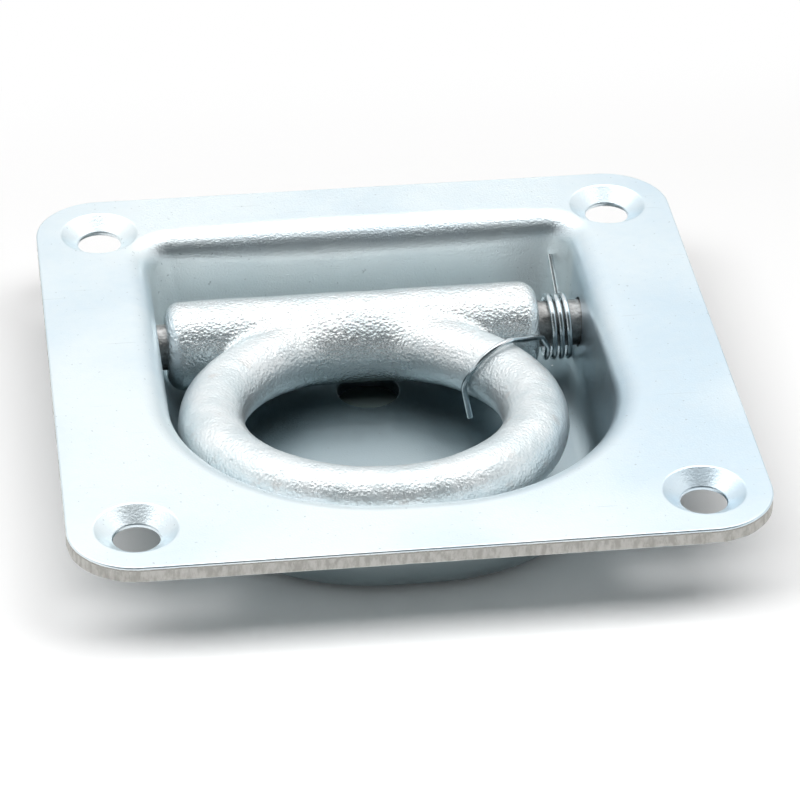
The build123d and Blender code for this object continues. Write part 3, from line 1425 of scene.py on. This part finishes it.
        radius = np.full(steps, self.countersink_radius)
        for _ in range(self.fit_rounds):
            drop, _ = self._lip_under(centre + around * radius[:, None], lip_start, outline)
            radius = self.countersink_radius - drop * math.tan(half)
        rim_points = centre + around * (radius + edge)[:, None]
        rim_drop, rim_facing = self._lip_under(rim_points, lip_start, outline)
        cone = np.column_stack([around * normal[0], np.full(steps, normal[1])])
        out, down, lean = self.rim_rounding
        loops = []
        for inset, level, facings in (
            (-edge, self.top - rim_drop, rim_facing),
            (-edge * out, self.top - drop - edge * down, unit(rim_facing + cone * lean)),
            (edge * math.sin(half), self.top - drop - edge * math.cos(half), cone),
        ):
            flat = centre + around * (radius - inset)[:, None]
            loops.append(self.draft.loop(np.column_stack([flat, level]), facings))
        bore = [
            (self.hole_radius + edge * math.sin(half), land + edge * math.cos(half), *normal),
            (self.hole_radius, land - edge, -1.0, 0.0),
            (self.hole_radius, edge, -1.0, 0.0),
            (self.hole_radius + edge, 0.0, 0.0, -1.0),
        ]
        below = self._turned(bore, (centre[0], centre[1]))
        self.draft.skin([*loops, below[0]])
        return loops + below

    def _lip_under(
        self, places: np.ndarray, lip_start: np.ndarray, outline: Outline
    ) -> tuple[np.ndarray, np.ndarray]:
        """Finds how far the lip has dropped below the flange's top at places near its start.

        Args:
            places: N by 2.
            lip_start: Points where the lip leaves the flat top.
            outline: The recess's outline.

        Returns:
            N drops and N normals.
        """
        apart = np.linalg.norm(places[:, None, :] - lip_start[None, :, :2], axis=2)
        nearest = apart.argmin(axis=1)
        outward = outline.outward[nearest]
        lip = self._lip_radius(outline)[nearest]
        past = ((lip_start[nearest][:, :2] - places) * outward).sum(axis=1)
        past = np.clip(past, 0.0, lip * self.lip_reach)
        rise = np.sqrt(lip**2 - past**2)
        facing = np.column_stack([-outward * (past / lip)[:, None], rise / lip])
        return lip - rise, facing

    def _drain(self) -> list[np.ndarray]:
        """Builds the drain hole in the floor.

        Returns:
            Rows of point numbers from the floor's upper face to its lower face.
        """
        edge, radius = self.small_edge, self.drain_radius
        bore = [
            (radius + edge, self.floor_top, 0.0, 1.0),
            (radius, self.floor_top - edge, -1.0, 0.0),
            (radius, self.bottom + edge, -1.0, 0.0),
            (radius + edge, self.bottom, 0.0, -1.0),
        ]
        return self._turned(bore, (self.drain_x, self.pin_y - self.drain_from_pin))


@dataclass(frozen=True)
class RingPlane:
    """The ring's own plane at rest, which holds the pin's axis and the bow's centre line."""

    pin_y: float = 26.0
    pin_z: float = -9.0
    tilt: float = 5.08

    def axes(self) -> np.ndarray:
        """Gives the directions of the ring's own frame.

        Returns:
            Rows: along the pin, from the pin towards the bow, and out of the ring's plane.
        """
        turn = math.radians(self.tilt)
        return np.array(
            [
                [1.0, 0.0, 0.0],
                [0.0, -math.cos(turn), math.sin(turn)],
                [0.0, math.sin(turn), math.cos(turn)],
            ]
        )

    def to_ring(self, points: np.ndarray) -> np.ndarray:
        """Turns points of the part's frame into distances along the three axes."""
        return (points - np.array([0.0, self.pin_y, self.pin_z])) @ self.axes().T

    def from_ring(self, places: np.ndarray) -> np.ndarray:
        """Turns distances along the three axes into points of the part's frame."""
        return places @ self.axes() + np.array([0.0, self.pin_y, self.pin_z])


@dataclass
class LashingRing:
    """Forged ring: a round bow whose back runs into the bored barrel on the pin."""

    finish: Finish
    plane: RingPlane
    stock_radius: float = 6.0
    barrel_radius: float = 8.3
    bow_reach: float = 33.4
    bow_overhang: float = 0.3
    barrel_end: float = 3.0
    bore_radius: float = 4.33
    melt: float = 2.2
    drawn_back: float = 1.26
    drawn_down: float = 0.83
    drawn_full: float = 5.0
    drawn_end: float = 15.0
    voxel: float = 0.40
    settle_rounds: int = 4
    least_slope: float = 0.25
    slope_step: float = 0.01
    swell_size: float = 7.0
    swell_depth: float = 0.16
    swell_most: float = 0.25
    lump_size: float = 2.2
    lump_depth: float = 0.05
    proudest: float = 0.03
    swell_shift: Triple = (12.0, 0.0, 0.0)
    lump_shift: Triple = (0.0, 12.0, 0.0)
    bow_steps: int = 120
    stock_steps: int = 40
    barrel_steps: int = 96
    sharp_angle: float = 50.0

    def __post_init__(self) -> None:
        """Takes the ring's place and width from the frame."""
        low, high = box_mm(Piece.RING)
        self.middle = (low[0] + high[0]) / 2
        self.bow_radius = (high[0] - low[0]) / 2 - self.stock_radius
        self.barrel_half = self.bow_radius + self.stock_radius - self.bow_overhang

    def build(self) -> bpy.types.Object:
        """Builds and dresses the ring.

        Returns:
            The ring.
        """
        skin = self._skin()
        self._settle(skin)
        bored = self._bored(skin)
        bored.materials.clear()
        bored.materials.append(self.finish.material())
        smooth(bored)
        bored.set_sharp_from_angle(angle=math.radians(self.sharp_angle))
        return shown(Piece.RING.dressed, bored)

    def _distance(self, points: np.ndarray) -> np.ndarray:
        """Signed distance to the unbored ring, with its bow and barrel melted together.

        Args:
            points: N by 3, in the part's frame.

        Returns:
            N distances, negative inside.
        """
        places = self.plane.to_ring(points)
        x = places[:, 0] - self.middle
        drawn = np.clip((self.drawn_end - np.abs(x)) / (self.drawn_end - self.drawn_full), 0.0, 1.0)
        drawn = drawn**2 * (3.0 - 2.0 * drawn) * (places[:, 1] < self.bow_reach)
        from_middle = np.hypot(x, places[:, 1] - self.bow_reach)
        aside = from_middle - self.bow_radius - self.drawn_back * drawn
        bow = np.hypot(aside, places[:, 2] + self.drawn_down * drawn) - self.stock_radius
        past_end = np.abs(x) - (self.barrel_half - self.barrel_end)
        past_side = np.hypot(places[:, 1], places[:, 2]) - (self.barrel_radius - self.barrel_end)
        outside = np.hypot(np.maximum(past_end, 0.0), np.maximum(past_side, 0.0))
        barrel = outside + np.minimum(np.maximum(past_end, past_side), 0.0) - self.barrel_end
        near = np.maximum(self.melt - np.abs(bow - barrel), 0.0) / self.melt
        return np.minimum(bow, barrel) - near**2 * self.melt / 4

    def _slope(self, points: np.ndarray) -> np.ndarray:
        """Gradient of the signed distance.

        Args:
            points: N by 3.

        Returns:
            N by 3.
        """
        step = self.slope_step
        rises = [self._distance(points + axis) - self._distance(points - axis) for axis in np.eye(3) * step]
        return np.column_stack(rises) / (2 * step)

    def _rod(self, draft: bmesh.types.BMesh, radius: float, length: float) -> None:
        """Adds a round rod on the pin's axis.

        Args:
            draft: Where it is added.
            radius: Its radius.
            length: Its length.
        """
        centre = self.plane.from_ring(np.array([[self.middle, 0.0, 0.0]]))[0]
        bmesh.ops.create_cone(
            draft,
            cap_ends=True,
            segments=self.barrel_steps,
            radius1=radius * MM,
            radius2=radius * MM,
            depth=length * MM,
            matrix=Matrix.Translation(Vector(centre * MM)) @ Matrix.Rotation(math.pi / 2, 4, "Y"),
        )

    @staticmethod
    def _made(name: str, draft: bmesh.types.BMesh) -> bpy.types.Object:
        """Makes an object of a draft and frees the draft.

        Args:
            name: Name of the object.
            draft: What it is made of.

        Returns:
            The object.
        """
        mesh = bpy.data.meshes.new(name)
        draft.to_mesh(mesh)
        draft.free()
        return shown(name, mesh)

    def _skin(self) -> bpy.types.Mesh:
        """Joins a closed round bow and a barrel in one even skin.

        Returns:
            The skin, in metres.
        """
        draft = bmesh.new()
        stock = circle(self.stock_steps)
        rows = []
        out, up = self.bow_radius + self.stock_radius * stock[:, 0], self.stock_radius * stock[:, 1]
        for along, across in circle(self.bow_steps):
            places = np.column_stack([self.middle + out * along, self.bow_reach + out * across, up])
            points = self.plane.from_ring(places)
            rows.append([draft.verts.new(Vector(point * MM)) for point in points])
        for row, following in zip(rows, rows[1:] + rows[:1]):
            for step in range(len(row)):
                draft.faces.new((row[step - 1], following[step - 1], following[step], row[step]))
        self._rod(draft, self.barrel_radius, 2 * self.barrel_half)
        bmesh.ops.recalc_face_normals(draft, faces=draft.faces)
        blank = self._made("ring blank", draft)
        remesh = blank.modifiers.new("even skin", "REMESH")
        remesh.mode = "VOXEL"
        remesh.voxel_size = self.voxel * MM
        remesh.adaptivity = 0.0
        skin = finished_mesh(blank, "ring skin")
        bpy.data.objects.remove(blank)
        return skin

    def _settle(self, mesh: bpy.types.Mesh) -> None:
        """Moves the skin's points onto the melted shape, and then by the forging's unevenness.

        Args:
            mesh: The skin, in metres.
        """
        points = np.empty(len(mesh.vertices) * 3)
        mesh.vertices.foreach_get("co", points)
        points = points.reshape(-1, 3) / MM
        for _ in range(self.settle_rounds):
            slope = self._slope(points)
            length = np.maximum((slope**2).sum(axis=1), self.least_slope)
            points -= slope * (self._distance(points) / length)[:, None]
        normals = unit(self._slope(points))
        points += normals * self._unevenness(points)[:, None]
        mesh.vertices.foreach_set("co", (points * MM).ravel())
        mesh.update()

    def _unevenness(self, points: np.ndarray) -> np.ndarray:
        """How far the forging stands out, never beyond the drawn shape by more than a hair.

        Args:
            points: N by 3.

        Returns:
            N heights.
        """
        heights = []
        for point in points:
            swell = noise.noise(Vector(point / self.swell_size) + Vector(self.swell_shift))
            lump = noise.noise(Vector(point / self.lump_size) + Vector(self.lump_shift))
            heights.append(min(swell, self.swell_most) * self.swell_depth + lump * self.lump_depth)
        return np.minimum(np.array(heights) - self.lump_depth, self.proudest)

    def _bored(self, skin: bpy.types.Mesh) -> bpy.types.Mesh:
        """Bores the barrel for the pin.

        Args:
            skin: The settled skin.

        Returns:
            The ring's mesh.
        """
        solid = shown("ring skin", skin)
        draft = bmesh.new()
        self._rod(draft, self.bore_radius, 3 * self.barrel_half)
        drill = self._made("drill", draft)
        cut = solid.modifiers.new("bore", "BOOLEAN")
        cut.operation = "DIFFERENCE"
        cut.solver = "EXACT"
        cut.object = drill
        bored = finished_mesh(solid, Piece.RING.dressed)
        for used in (solid, drill):
            bpy.data.objects.remove(used)
        return bored


@dataclass
class HingePin:
    """Hinge pin: a plain shank, and a head formed over at each end outside the pan."""

    finish: Finish
    shank_radius: float = 4.25
    head_radius: float = 6.0
    head_thickness: float = 2.5
    head_rounding: float = 1.2
    small_edge: float = 0.2
    seat_lean: float = 0.2
    face_rings: Triple = (0.75, 0.5, 0.25)
    dimple_depth: float = 0.08
    dimple_grain: float = 0.6
    dimple_level: float = 0.4
    dimple_plane: float = 9.0
    dimple_shift: Triple = (5.0, 0.0, 0.0)
    shank_from: float = 6.0
    shank_rows: int = 8
    rounding_steps: int = 6
    steps: int = 64

    def build(self) -> bpy.types.Object:
        """Builds and dresses the pin.

        Returns:
            The pin.
        """
        low, high = box_mm(Piece.PIN)
        middle = (low + high) / 2
        end = high[0]
        seat = end - self.head_thickness
        edge, rounding = self.small_edge, self.head_rounding
        flat_radius = self.head_radius - rounding
        shank_levels = (0.0, *np.linspace(self.shank_from, seat - edge, self.shank_rows))
        half = [
            *((self.shank_radius, level, 1.0, 0.0) for level in shank_levels),
            (self.shank_radius + edge, seat, self.seat_lean, -1.0),
            (self.head_radius - edge, seat, 0.0, -1.0),
            (self.head_radius, seat + edge, 1.0, 0.0),
            *rounded((flat_radius, end - rounding), rounding, 0.0, 90.0, self.rounding_steps),
            *((flat_radius * share, end, 0.0, 1.0) for share in self.face_rings),
        ]
        rows = [(r, -z, out, -up) for r, z, out, up in reversed(half[1:])] + half
        draft = MeshDraft()
        around = circle(self.steps)
        loops = []
        for radius, level, out, up in rows:
            on_head = abs(level) > seat + self.head_thickness / 3
            dimple = self._dimples(radius * around, level) if on_head else np.zeros(self.steps)
            faces = level - math.copysign(1.0, level) * dimple
            points = np.column_stack([faces, middle[1:] + radius * around])
            loops.append(draft.loop(points, np.column_stack([np.full(self.steps, up), around * out])))
        draft.skin(loops)
        for loop, side in ((loops[0], -1.0), (loops[-1], 1.0)):
            tip = draft.loop(np.array([[side * end, *middle[1:]]]), np.array([side, 0.0, 0.0]))[0]
            draft.faces += [(near, after, tip) for near, after in zip(loop, np.roll(loop, -1))]
        return draft.build(Piece.PIN.dressed, self.finish)

    def _dimples(self, places: np.ndarray, level: float) -> np.ndarray:
        """How far the head's face is beaten in.

        Args:
            places: N by 2, places round the pin's axis.
            level: Place of the row along the pin.

        Returns:
            N depths.
        """
        plane = math.copysign(self.dimple_plane, level)
        shift = Vector(self.dimple_shift)
        found = [noise.noise(Vector((*place, plane)) * self.dimple_grain + shift) for place in places]
        return np.clip(np.array(found) + self.dimple_level, 0.0, 1.0) * self.dimple_depth


class Route:
    """A wire's centre line, drawn from its parts in order."""

    def __init__(self) -> None:
        """Starts with nothing."""
        self.points: list[np.ndarray] = []

    def extend(self, points: Sequence[np.ndarray]) -> None:
        """Adds points, without one that repeats the last.

        Args:
            points: Points to add.
        """
        for point in points:
            if not self.points or np.linalg.norm(point - self.points[-1]) > SAME_PLACE:
                self.points.append(np.asarray(point, float))

    def bent_line(self, corners: Sequence[np.ndarray], radii: Sequence[float], spacing: float) -> None:
        """Adds a line through corners, each one rounded.

        Args:
            corners: The line's ends and the corners between them.
            radii: One radius for each corner between the ends.
            spacing: Greatest distance between points on a bend.
        """
        self.extend([corners[0]])
        for before, corner, after, radius in zip(corners, corners[1:], corners[2:], radii):
            back, ahead = unit(before - corner), unit(after - corner)
            half = math.acos(float(np.clip(back @ ahead, -1.0, 1.0))) / 2
            centre = corner + unit(back + ahead) * radius / math.sin(half)
            start = corner + back * radius / math.tan(half) - centre
            end = corner + ahead * radius / math.tan(half) - centre
            turn = math.pi - 2 * half
            steps = max(3, math.ceil(turn * radius / spacing))
            sweep = np.linspace(0.0, turn, steps + 1)
            blend = [start * math.sin(turn - a) + end * math.sin(a) for a in sweep]
            self.extend([centre + step / math.sin(turn) for step in blend])
        self.extend([corners[-1]])

    def smooth_curve(
        self, points: Sequence[np.ndarray], start: np.ndarray, end: np.ndarray, steps: int
    ) -> None:
        """Adds a smooth curve through points.

        Args:
            points: The points that it passes.
            start: Its direction at the first point.
            end: Its direction at the last point.
            steps: Steps between two points.
        """
        knots = np.array(points)
        gaps = np.linalg.norm(np.diff(knots, axis=0), axis=1)
        count = len(knots)
        system = np.zeros((count, count))
        sought = np.zeros((count, 3))
        system[0, 0] = system[-1, -1] = 1.0
        sought[0], sought[-1] = unit(start), unit(end)
        for place in range(1, count - 1):
            before, after = gaps[place - 1], gaps[place]
            system[place, place - 1 : place + 2] = (after, 2 * (before + after), before)
            rise_before = (knots[place] - knots[place - 1]) / before
            rise_after = (knots[place + 1] - knots[place]) / after
            sought[place] = 3 * (after * rise_before + before * rise_after)
        tangents = np.linalg.solve(system, sought)
        for place, gap in enumerate(gaps):
            for share in np.linspace(0.0, 1.0, steps + 1):
                rest = 1.0 - share
                self.extend(
                    [
                        knots[place] * rest**2 * (1 + 2 * share)
                        + knots[place + 1] * share**2 * (1 + 2 * rest)
                        + tangents[place] * gap * share * rest**2
                        - tangents[place + 1] * gap * share**2 * rest
                    ]
                )


@dataclass
class ReturnSpring:
    """Torsion spring: a leg hooked over the ring's stock, a coil round the pin, and a fixed leg."""

    finish: Finish
    ring: LashingRing
    pan: Pan
    wire_radius: float = 0.53
    coil_radius: float = 5.75
    coil_sag: float = 0.6
    coil_pitch: float = 1.4
    coil_turns: int = 3
    coil_side_clearance: float = 0.86
    leg_start_angle: float = 24.0
    leg_rise: float = 5.3
    leg_offset: float = 1.4
    leg_knee: float = 2.0
    leg_corner_radius: float = 1.2
    leg_knee_radius: float = 2.0
    fixed_leg_slope: float = 38.5
    fixed_leg_offset: float = 0.9
    fixed_leg_bend: float = 1.5
    fixed_leg_bend_radius: float = 3.0
    leg_seat_clearance: float = 0.45
    hook_clearance: float = 0.25
    hook_end_length: float = 5.6
    hook_end_tuck_angle: float = 11.0
    hook_route_angles: tuple[Span, ...] = (
        (36.0, 200.0),
        (32.5, 170.0),
        (29.0, 138.0),
        (27.9, 100.0),
        (29.2, 70.0),
    )
    point_spacing: float = 0.28
    bend_spacing: float = 0.2
    hook_steps: int = 14
    tangent_turn: float = 0.1
    sides: int = 18
    sharp_angle: float = 50.0

    def __post_init__(self) -> None:
        """Works out the coil's place from the ring and the pin."""
        self.plane = self.ring.plane
        self.coil_z = self.plane.pin_z - self.coil_sag
        barrel_right = self.ring.middle + self.ring.barrel_half
        self.coil_start_x = barrel_right + self.coil_side_clearance + self.wire_radius
        self.coil_turning = 360.0 * self.coil_turns + 90.0 + self.fixed_leg_slope - self.leg_start_angle

    def build(self) -> bpy.types.Object:
        """Builds and dresses the spring.

        Returns:
            The spring.
        """
        route = self._route()
        line = bpy.data.meshes.new("wire route")
        edges = [(place, place + 1) for place in range(len(route) - 1)]
        line.from_pydata((route * MM).tolist(), edges, [])
        carrier = shown("wire route", line)
        tree = self._wire_tree()
        drawing = carrier.modifiers.new("drawn wire", "NODES")
        drawing.node_group = tree
        finish = self.finish.material()
        given = {"Wire Radius": self.wire_radius * MM, "Sides": self.sides, "Finish": finish}
        for socket in tree.interface.items_tree:
            if socket.in_out == "INPUT" and socket.name in given:
                drawing[socket.identifier] = given[socket.name]
        drawn = finished_mesh(carrier, Piece.SPRING.dressed)
        bpy.data.objects.remove(carrier)
        drawn.set_sharp_from_angle(angle=math.radians(self.sharp_angle))
        return shown(Piece.SPRING.dressed, drawn)

    def blend_points(self) -> tuple[Vector, Vector]:
        """Where the spring starts to turn with the ring, and where it turns with it fully.

        Returns:
            A point by the fixed leg and a point by the moving leg, in metres.
        """
        coil_length = self.coil_pitch * self.coil_turning / 360.0
        fixed_x = self.coil_start_x + coil_length - self.fixed_leg_offset - self.wire_radius
        moving_x = self.coil_start_x + self.wire_radius
        start = Vector((fixed_x, self.plane.pin_y, self.plane.pin_z))
        end = Vector((moving_x, self.plane.pin_y, self.plane.pin_z))
        return start * MM, end * MM

    def _beside_stock(self, bow_angle: float, stock_angle: float) -> np.ndarray:
        """Place of the wire's centre beside the ring's stock.

        Args:
            bow_angle: Angle back along the bow from its right side, in degrees.
            stock_angle: Angle round the stock from its outer side over its top, in degrees.

        Returns:
            The point.
        """
        away = self.ring.stock_radius + self.hook_clearance + self.wire_radius
        bow, round_stock = math.radians(bow_angle), math.radians(stock_angle)
        out = self.ring.bow_radius + away * math.cos(round_stock)
        place = np.array(
            [
                self.ring.middle + out * math.cos(bow),
                self.ring.bow_reach - out * math.sin(bow),
                away * math.sin(round_stock),
            ]
        )
        return self.plane.from_ring(place[None, :])[0]

    def _coil_point(self, turned: float) -> np.ndarray:
        """Finds a point of the coil.

        Args:
            turned: Angle the coil has turned through, in degrees.

        Returns:
            The point on the wire's centre line.
        """
        angle = math.radians(180.0 + self.leg_start_angle + turned)
        return np.array(
            [
                self.coil_start_x + self.coil_pitch * turned / 360.0,
                self.plane.pin_y + self.coil_radius * math.cos(angle),
                self.coil_z + self.coil_radius * math.sin(angle),
            ]
        )

    def _route(self) -> np.ndarray:
        """Draws the wire's centre line from the hook's free end to the fixed leg's end.

        Returns:
            N by 3 points.
        """
        route = Route()
        hook = [self._beside_stock(bow, stock) for bow, stock in self.hook_route_angles]
        tuck = math.radians(self.hook_end_tuck_angle)
        axes = self.plane.axes()
        end_direction = axes[0] * math.sin(tuck) - axes[2] * math.cos(tuck)
        coil_start = self._coil_point(0.0)
        entry = unit(self._coil_point(self.tangent_turn) - coil_start)
        corner = coil_start - entry * self.leg_rise - np.array([self.leg_offset, 0.0, 0.0])
        route.extend([hook[0] + end_direction * self.hook_end_length, hook[0]])
        route.smooth_curve(hook, -end_direction, corner - hook[-1], self.hook_steps)
        route.bent_line(
            [hook[-1], corner, coil_start - entry * self.leg_knee, coil_start],
            [self.leg_corner_radius, self.leg_knee_radius],
            self.point_spacing,
        )
        steps = math.ceil(math.radians(self.coil_turning) * self.coil_radius / self.point_spacing)
        route.extend([self._coil_point(turned) for turned in np.linspace(0.0, self.coil_turning, steps)])
        coil_end = self._coil_point(self.coil_turning)
        leaving = unit(coil_end - self._coil_point(self.coil_turning - self.tangent_turn))
        bend = coil_end + leaving * self.fixed_leg_bend
        corners = [coil_end, bend, self._fixed_end(coil_end)]
        route.bent_line(corners, [self.fixed_leg_bend_radius], self.bend_spacing)
        return np.array(route.points)

    def _fixed_end(self, coil_end: np.ndarray) -> np.ndarray:
        """End of the fixed leg, where it meets the leaning back wall.

        Args:
            coil_end: End of the coil.

        Returns:
            The point.
        """
        slope = math.radians(self.fixed_leg_slope)
        wall_lean = math.tan(math.radians(self.pan.back_draft))
        wall_foot = self.pan.back_at(0.0) - self.leg_seat_clearance - self.wire_radius
        tangent_y = self.plane.pin_y + self.coil_radius * math.sin(slope)
        leg_foot = self.coil_z - self.coil_radius * math.cos(slope) - tangent_y * math.tan(slope)
        end_y = (wall_foot + leg_foot * wall_lean) / (1 - math.tan(slope) * wall_lean)
        return np.array([coil_end[0] - self.fixed_leg_offset, end_y, leg_foot + end_y * math.tan(slope)])

    def _wire_tree(self) -> bpy.types.NodeTree:
        """Builds the tree that draws a round wire along a route.

        Returns:
            The tree, whose inputs are the wire's radius, its sides and its finish.
        """
        tree = bpy.data.node_groups.new("drawn wire", "GeometryNodeTree")
        for name, way, kind in (
            ("Geometry", "INPUT", "Geometry"),
            ("Wire Radius", "INPUT", "Float"),
            ("Sides", "INPUT", "Int"),
            ("Finish", "INPUT", "Material"),
            ("Geometry", "OUTPUT", "Geometry"),
        ):
            tree.interface.new_socket(name, in_out=way, socket_type=f"NodeSocket{kind}")
        given = tree.nodes.new("NodeGroupInput")
        result = tree.nodes.new("NodeGroupOutput")
        line = tree.nodes.new("GeometryNodeMeshToCurve")
        section = tree.nodes.new("GeometryNodeCurvePrimitiveCircle")
        sweep = tree.nodes.new("GeometryNodeCurveToMesh")
        rounded = tree.nodes.new("GeometryNodeSetShadeSmooth")
        realized = tree.nodes.new("GeometryNodeRealizeInstances")
        dressed = tree.nodes.new("GeometryNodeSetMaterial")
        sweep.inputs["Fill Caps"].default_value = True
        for source, output, target, socket in (
            (given, "Geometry", line, "Mesh"),
            (given, "Wire Radius", section, "Radius"),
            (given, "Sides", section, "Resolution"),
            (line, "Curve", sweep, "Curve"),
            (section, "Curve", sweep, "Profile Curve"),
            (sweep, "Mesh", rounded, "Geometry"),
            (rounded, "Geometry", realized, "Geometry"),
            (realized, "Geometry", dressed, "Geometry"),
            (given, "Finish", dressed, "Material"),
            (dressed, "Geometry", result, "Geometry"),
        ):
            tree.links.new(source.outputs[output], target.inputs[socket])
        return tree


@dataclass(frozen=True)
class Lamp:
    """A lamp that is aimed at the part. Its lengths are metres."""

    name: str
    place: Triple
    width: float
    depth: float
    power: float
    mirrored: bool
    casts: bool


@dataclass
class Stage:
    """Floor, dull card, lamps, world and camera. Its lengths are metres."""

    floor_level: float
    floor_side: float = 8.0
    card_top: Span = (-0.19, 1.185)
    card_foot: Span = (-1.55, -0.02)
    card_width: float = 2.4
    lamps: tuple[Lamp, ...] = (
        Lamp("overhead softbox", (0.0, 0.30, 1.12), 1.7, 0.94, 7.1, True, False),
        Lamp("wide key lamp", (-0.15, -0.66, 1.30), 1.9, 0.50, 26.0, False, True),
    )
    surround_side: float = 1.7
    surround_height: float = 0.80
    ambient: float = 0.25
    lens: float = 175.70
    sensor: float = 36.0
    clip: Span = (0.01, 50.0)
    azimuth: float = -7.676
    elevation: float = 33.213
    roll: float = 0.598
    distance: float = 0.68476
    aim: Triple = (0.000451, -0.014826, 0.003)

    def build(self) -> None:
        """Sets the stage."""
        half = self.floor_side / 2
        level = self.floor_level
        corners = [(-half, -half, level), (half, -half, level), (half, half, level), (-half, half, level)]
        floor = self._sheet("floor", corners, FloorFinish())
        wide, top, foot = self.card_width / 2, self.card_top, self.card_foot
        corners = [(-wide, *foot), (wide, *foot), (wide, *top), (-wide, *top)]
        card = self._sheet("dull card", corners, CardFinish())
        out = self.surround_side
        around = [(-out, -out), (-out, out), (out, out), (out, -out)]
        levels = (level, level + self.surround_height)
        corners = [(*flat, height) for height in levels for flat in around]
        sides = [(0, 1, 5, 4), (1, 2, 6, 5), (2, 3, 7, 6)]
        tent = self._sheet("pale surround", corners, SurroundFinish(), sides)
        for mirrored in (card, tent):
            mirrored.visible_camera = False
            mirrored.visible_diffuse = False
            mirrored.visible_transmission = False
            mirrored.visible_shadow = False
        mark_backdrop(floor, card, tent)
        for lamp in self.lamps:
            self._hang(lamp)
        self._world()
        self._camera()

    @staticmethod
    def _sheet(
        name: str,
        corners: Sequence[Triple],
        finish: Finish,
        faces: Sequence[tuple[int, ...]] = ((0, 1, 2, 3),),
    ) -> bpy.types.Object:
        """Makes one or more flat four-sided sheets.

        Args:
            name: Name of the object.
            corners: Its corners, in metres.
            finish: Its finish.
            faces: The corners of each sheet.

        Returns:
            The sheets as one object.
        """
        mesh = bpy.data.meshes.new(name)
        mesh.from_pydata(corners, [], faces)
        mesh.materials.append(finish.material())
        return shown(name, mesh)

    @staticmethod
    def _hang(lamp: Lamp) -> None:
        """Hangs one soft lamp.

        Args:
            lamp: Its place, size and power.
        """
        light = bpy.data.lights.new(lamp.name, "AREA")
        light.shape = "RECTANGLE"
        light.size = lamp.width
        light.size_y = lamp.depth
        light.energy = lamp.power
        hung = shown(lamp.name, light)
        back = Vector(lamp.place).normalized()
        side = Vector((1.0, 0.0, 0.0))
        up = back.cross(side).normalized()
        Stage._set_up(hung, Vector(lamp.place), up.cross(back), up, back)
        hung.visible_glossy = lamp.mirrored
        hung.visible_diffuse = lamp.casts

    @staticmethod
    def _set_up(made: bpy.types.Object, place: Vector, right: Vector, up: Vector, back: Vector) -> None:
        """Puts a lamp or the camera in its place, turned so that it looks away from its back."""
        axes = Matrix((right, up, back)).transposed().to_4x4()
        made.matrix_world = Matrix.Translation(place) @ axes

    def _world(self) -> None:
        """Makes the world white to the eye and in mirrors, and a plain light on everything else."""
        world = bpy.data.worlds.new("white room")
        world.use_nodes = True
        graph = Graph(world.node_tree)
        kinds = ("Is Camera Ray", "Is Glossy Ray", "Is Transmission Ray")
        seen = [graph.node("ShaderNodeLightPath", output=kind) for kind in kinds]
        strength = (seen[0] + seen[1] + seen[2]).stepped(0.0, 1.0).between(self.ambient, 1.0)
        light = graph.node("ShaderNodeBackground", None, {"Color": WHITE, "Strength": strength})
        graph.end("ShaderNodeOutputWorld", light)
        bpy.context.scene.world = world

    def _camera(self) -> None:
        """Sets the camera and the picture."""
        lens = bpy.data.cameras.new("camera")
        lens.lens = self.lens
        lens.sensor_width = self.sensor
        lens.sensor_fit = "HORIZONTAL"
        lens.clip_start, lens.clip_end = self.clip
        lens.dof.use_dof = False
        turn, rise, roll = (math.radians(angle) for angle in (self.azimuth, self.elevation, self.roll))
        back = Vector((math.sin(turn) * math.cos(rise), -math.cos(turn) * math.cos(rise), math.sin(rise)))
        level_right = (-back).cross(Vector((0.0, 0.0, 1.0))).normalized()
        level_up = level_right.cross(-back)
        right = level_right * math.cos(roll) + level_up * math.sin(roll)
        up = level_up * math.cos(roll) - level_right * math.sin(roll)
        camera = shown("camera", lens)
        self._set_up(camera, Vector(self.aim) + back * self.distance, right, up, back)
        bpy.context.scene.camera = camera
        bpy.context.scene.view_settings.view_transform = "Standard"


def note_size(stage_name: str, kept: dict[str, list[list[float]]]) -> None:
    """Measures the shown part and keeps its corners under the name of when it was measured."""
    low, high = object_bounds()
    kept[stage_name] = [list(low), list(high)]


def dress(piece: Piece, body: Body, made: bpy.types.Object) -> None:
    """Lets a rigid piece ride on a body and stand for its CAD node."""
    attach(made, body.value)
    stand_for(piece, made)


def stand_for(piece: Piece, made: bpy.types.Object) -> None:
    """Lets a piece stand for its CAD node, and reports it.

    Args:
        piece: The CAD node.
        made: The piece.
    """
    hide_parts(piece.value)
    LOG.info("%s: %d points, %d faces", made.name, len(made.data.vertices), len(made.data.polygons))


def main() -> None:
    """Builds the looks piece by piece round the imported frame."""
    logging.basicConfig(level=logging.INFO, format="%(name)s: %(message)s")
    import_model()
    sizes: dict[str, list[list[float]]] = {}
    note_size("frame", sizes)

    pan = Pan(PressedZinc())
    dress(Piece.PAN, Body.PAN, pan.build())
    ring = LashingRing(ForgedZinc(), RingPlane())
    dress(Piece.RING, Body.RING, ring.build())
    dress(Piece.PIN, Body.PAN, HingePin(PinSteel()).build())

    spring = ReturnSpring(SpringSteel(), ring, pan)
    wire = spring.build()
    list(spring.blend_points())
    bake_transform(wire)
    stand_for(Piece.SPRING, wire)

    Stage(floor_level=pan.bottom * MM).build()
    note_size("dressed", sizes)


if __name__ == "__main__":
    main()
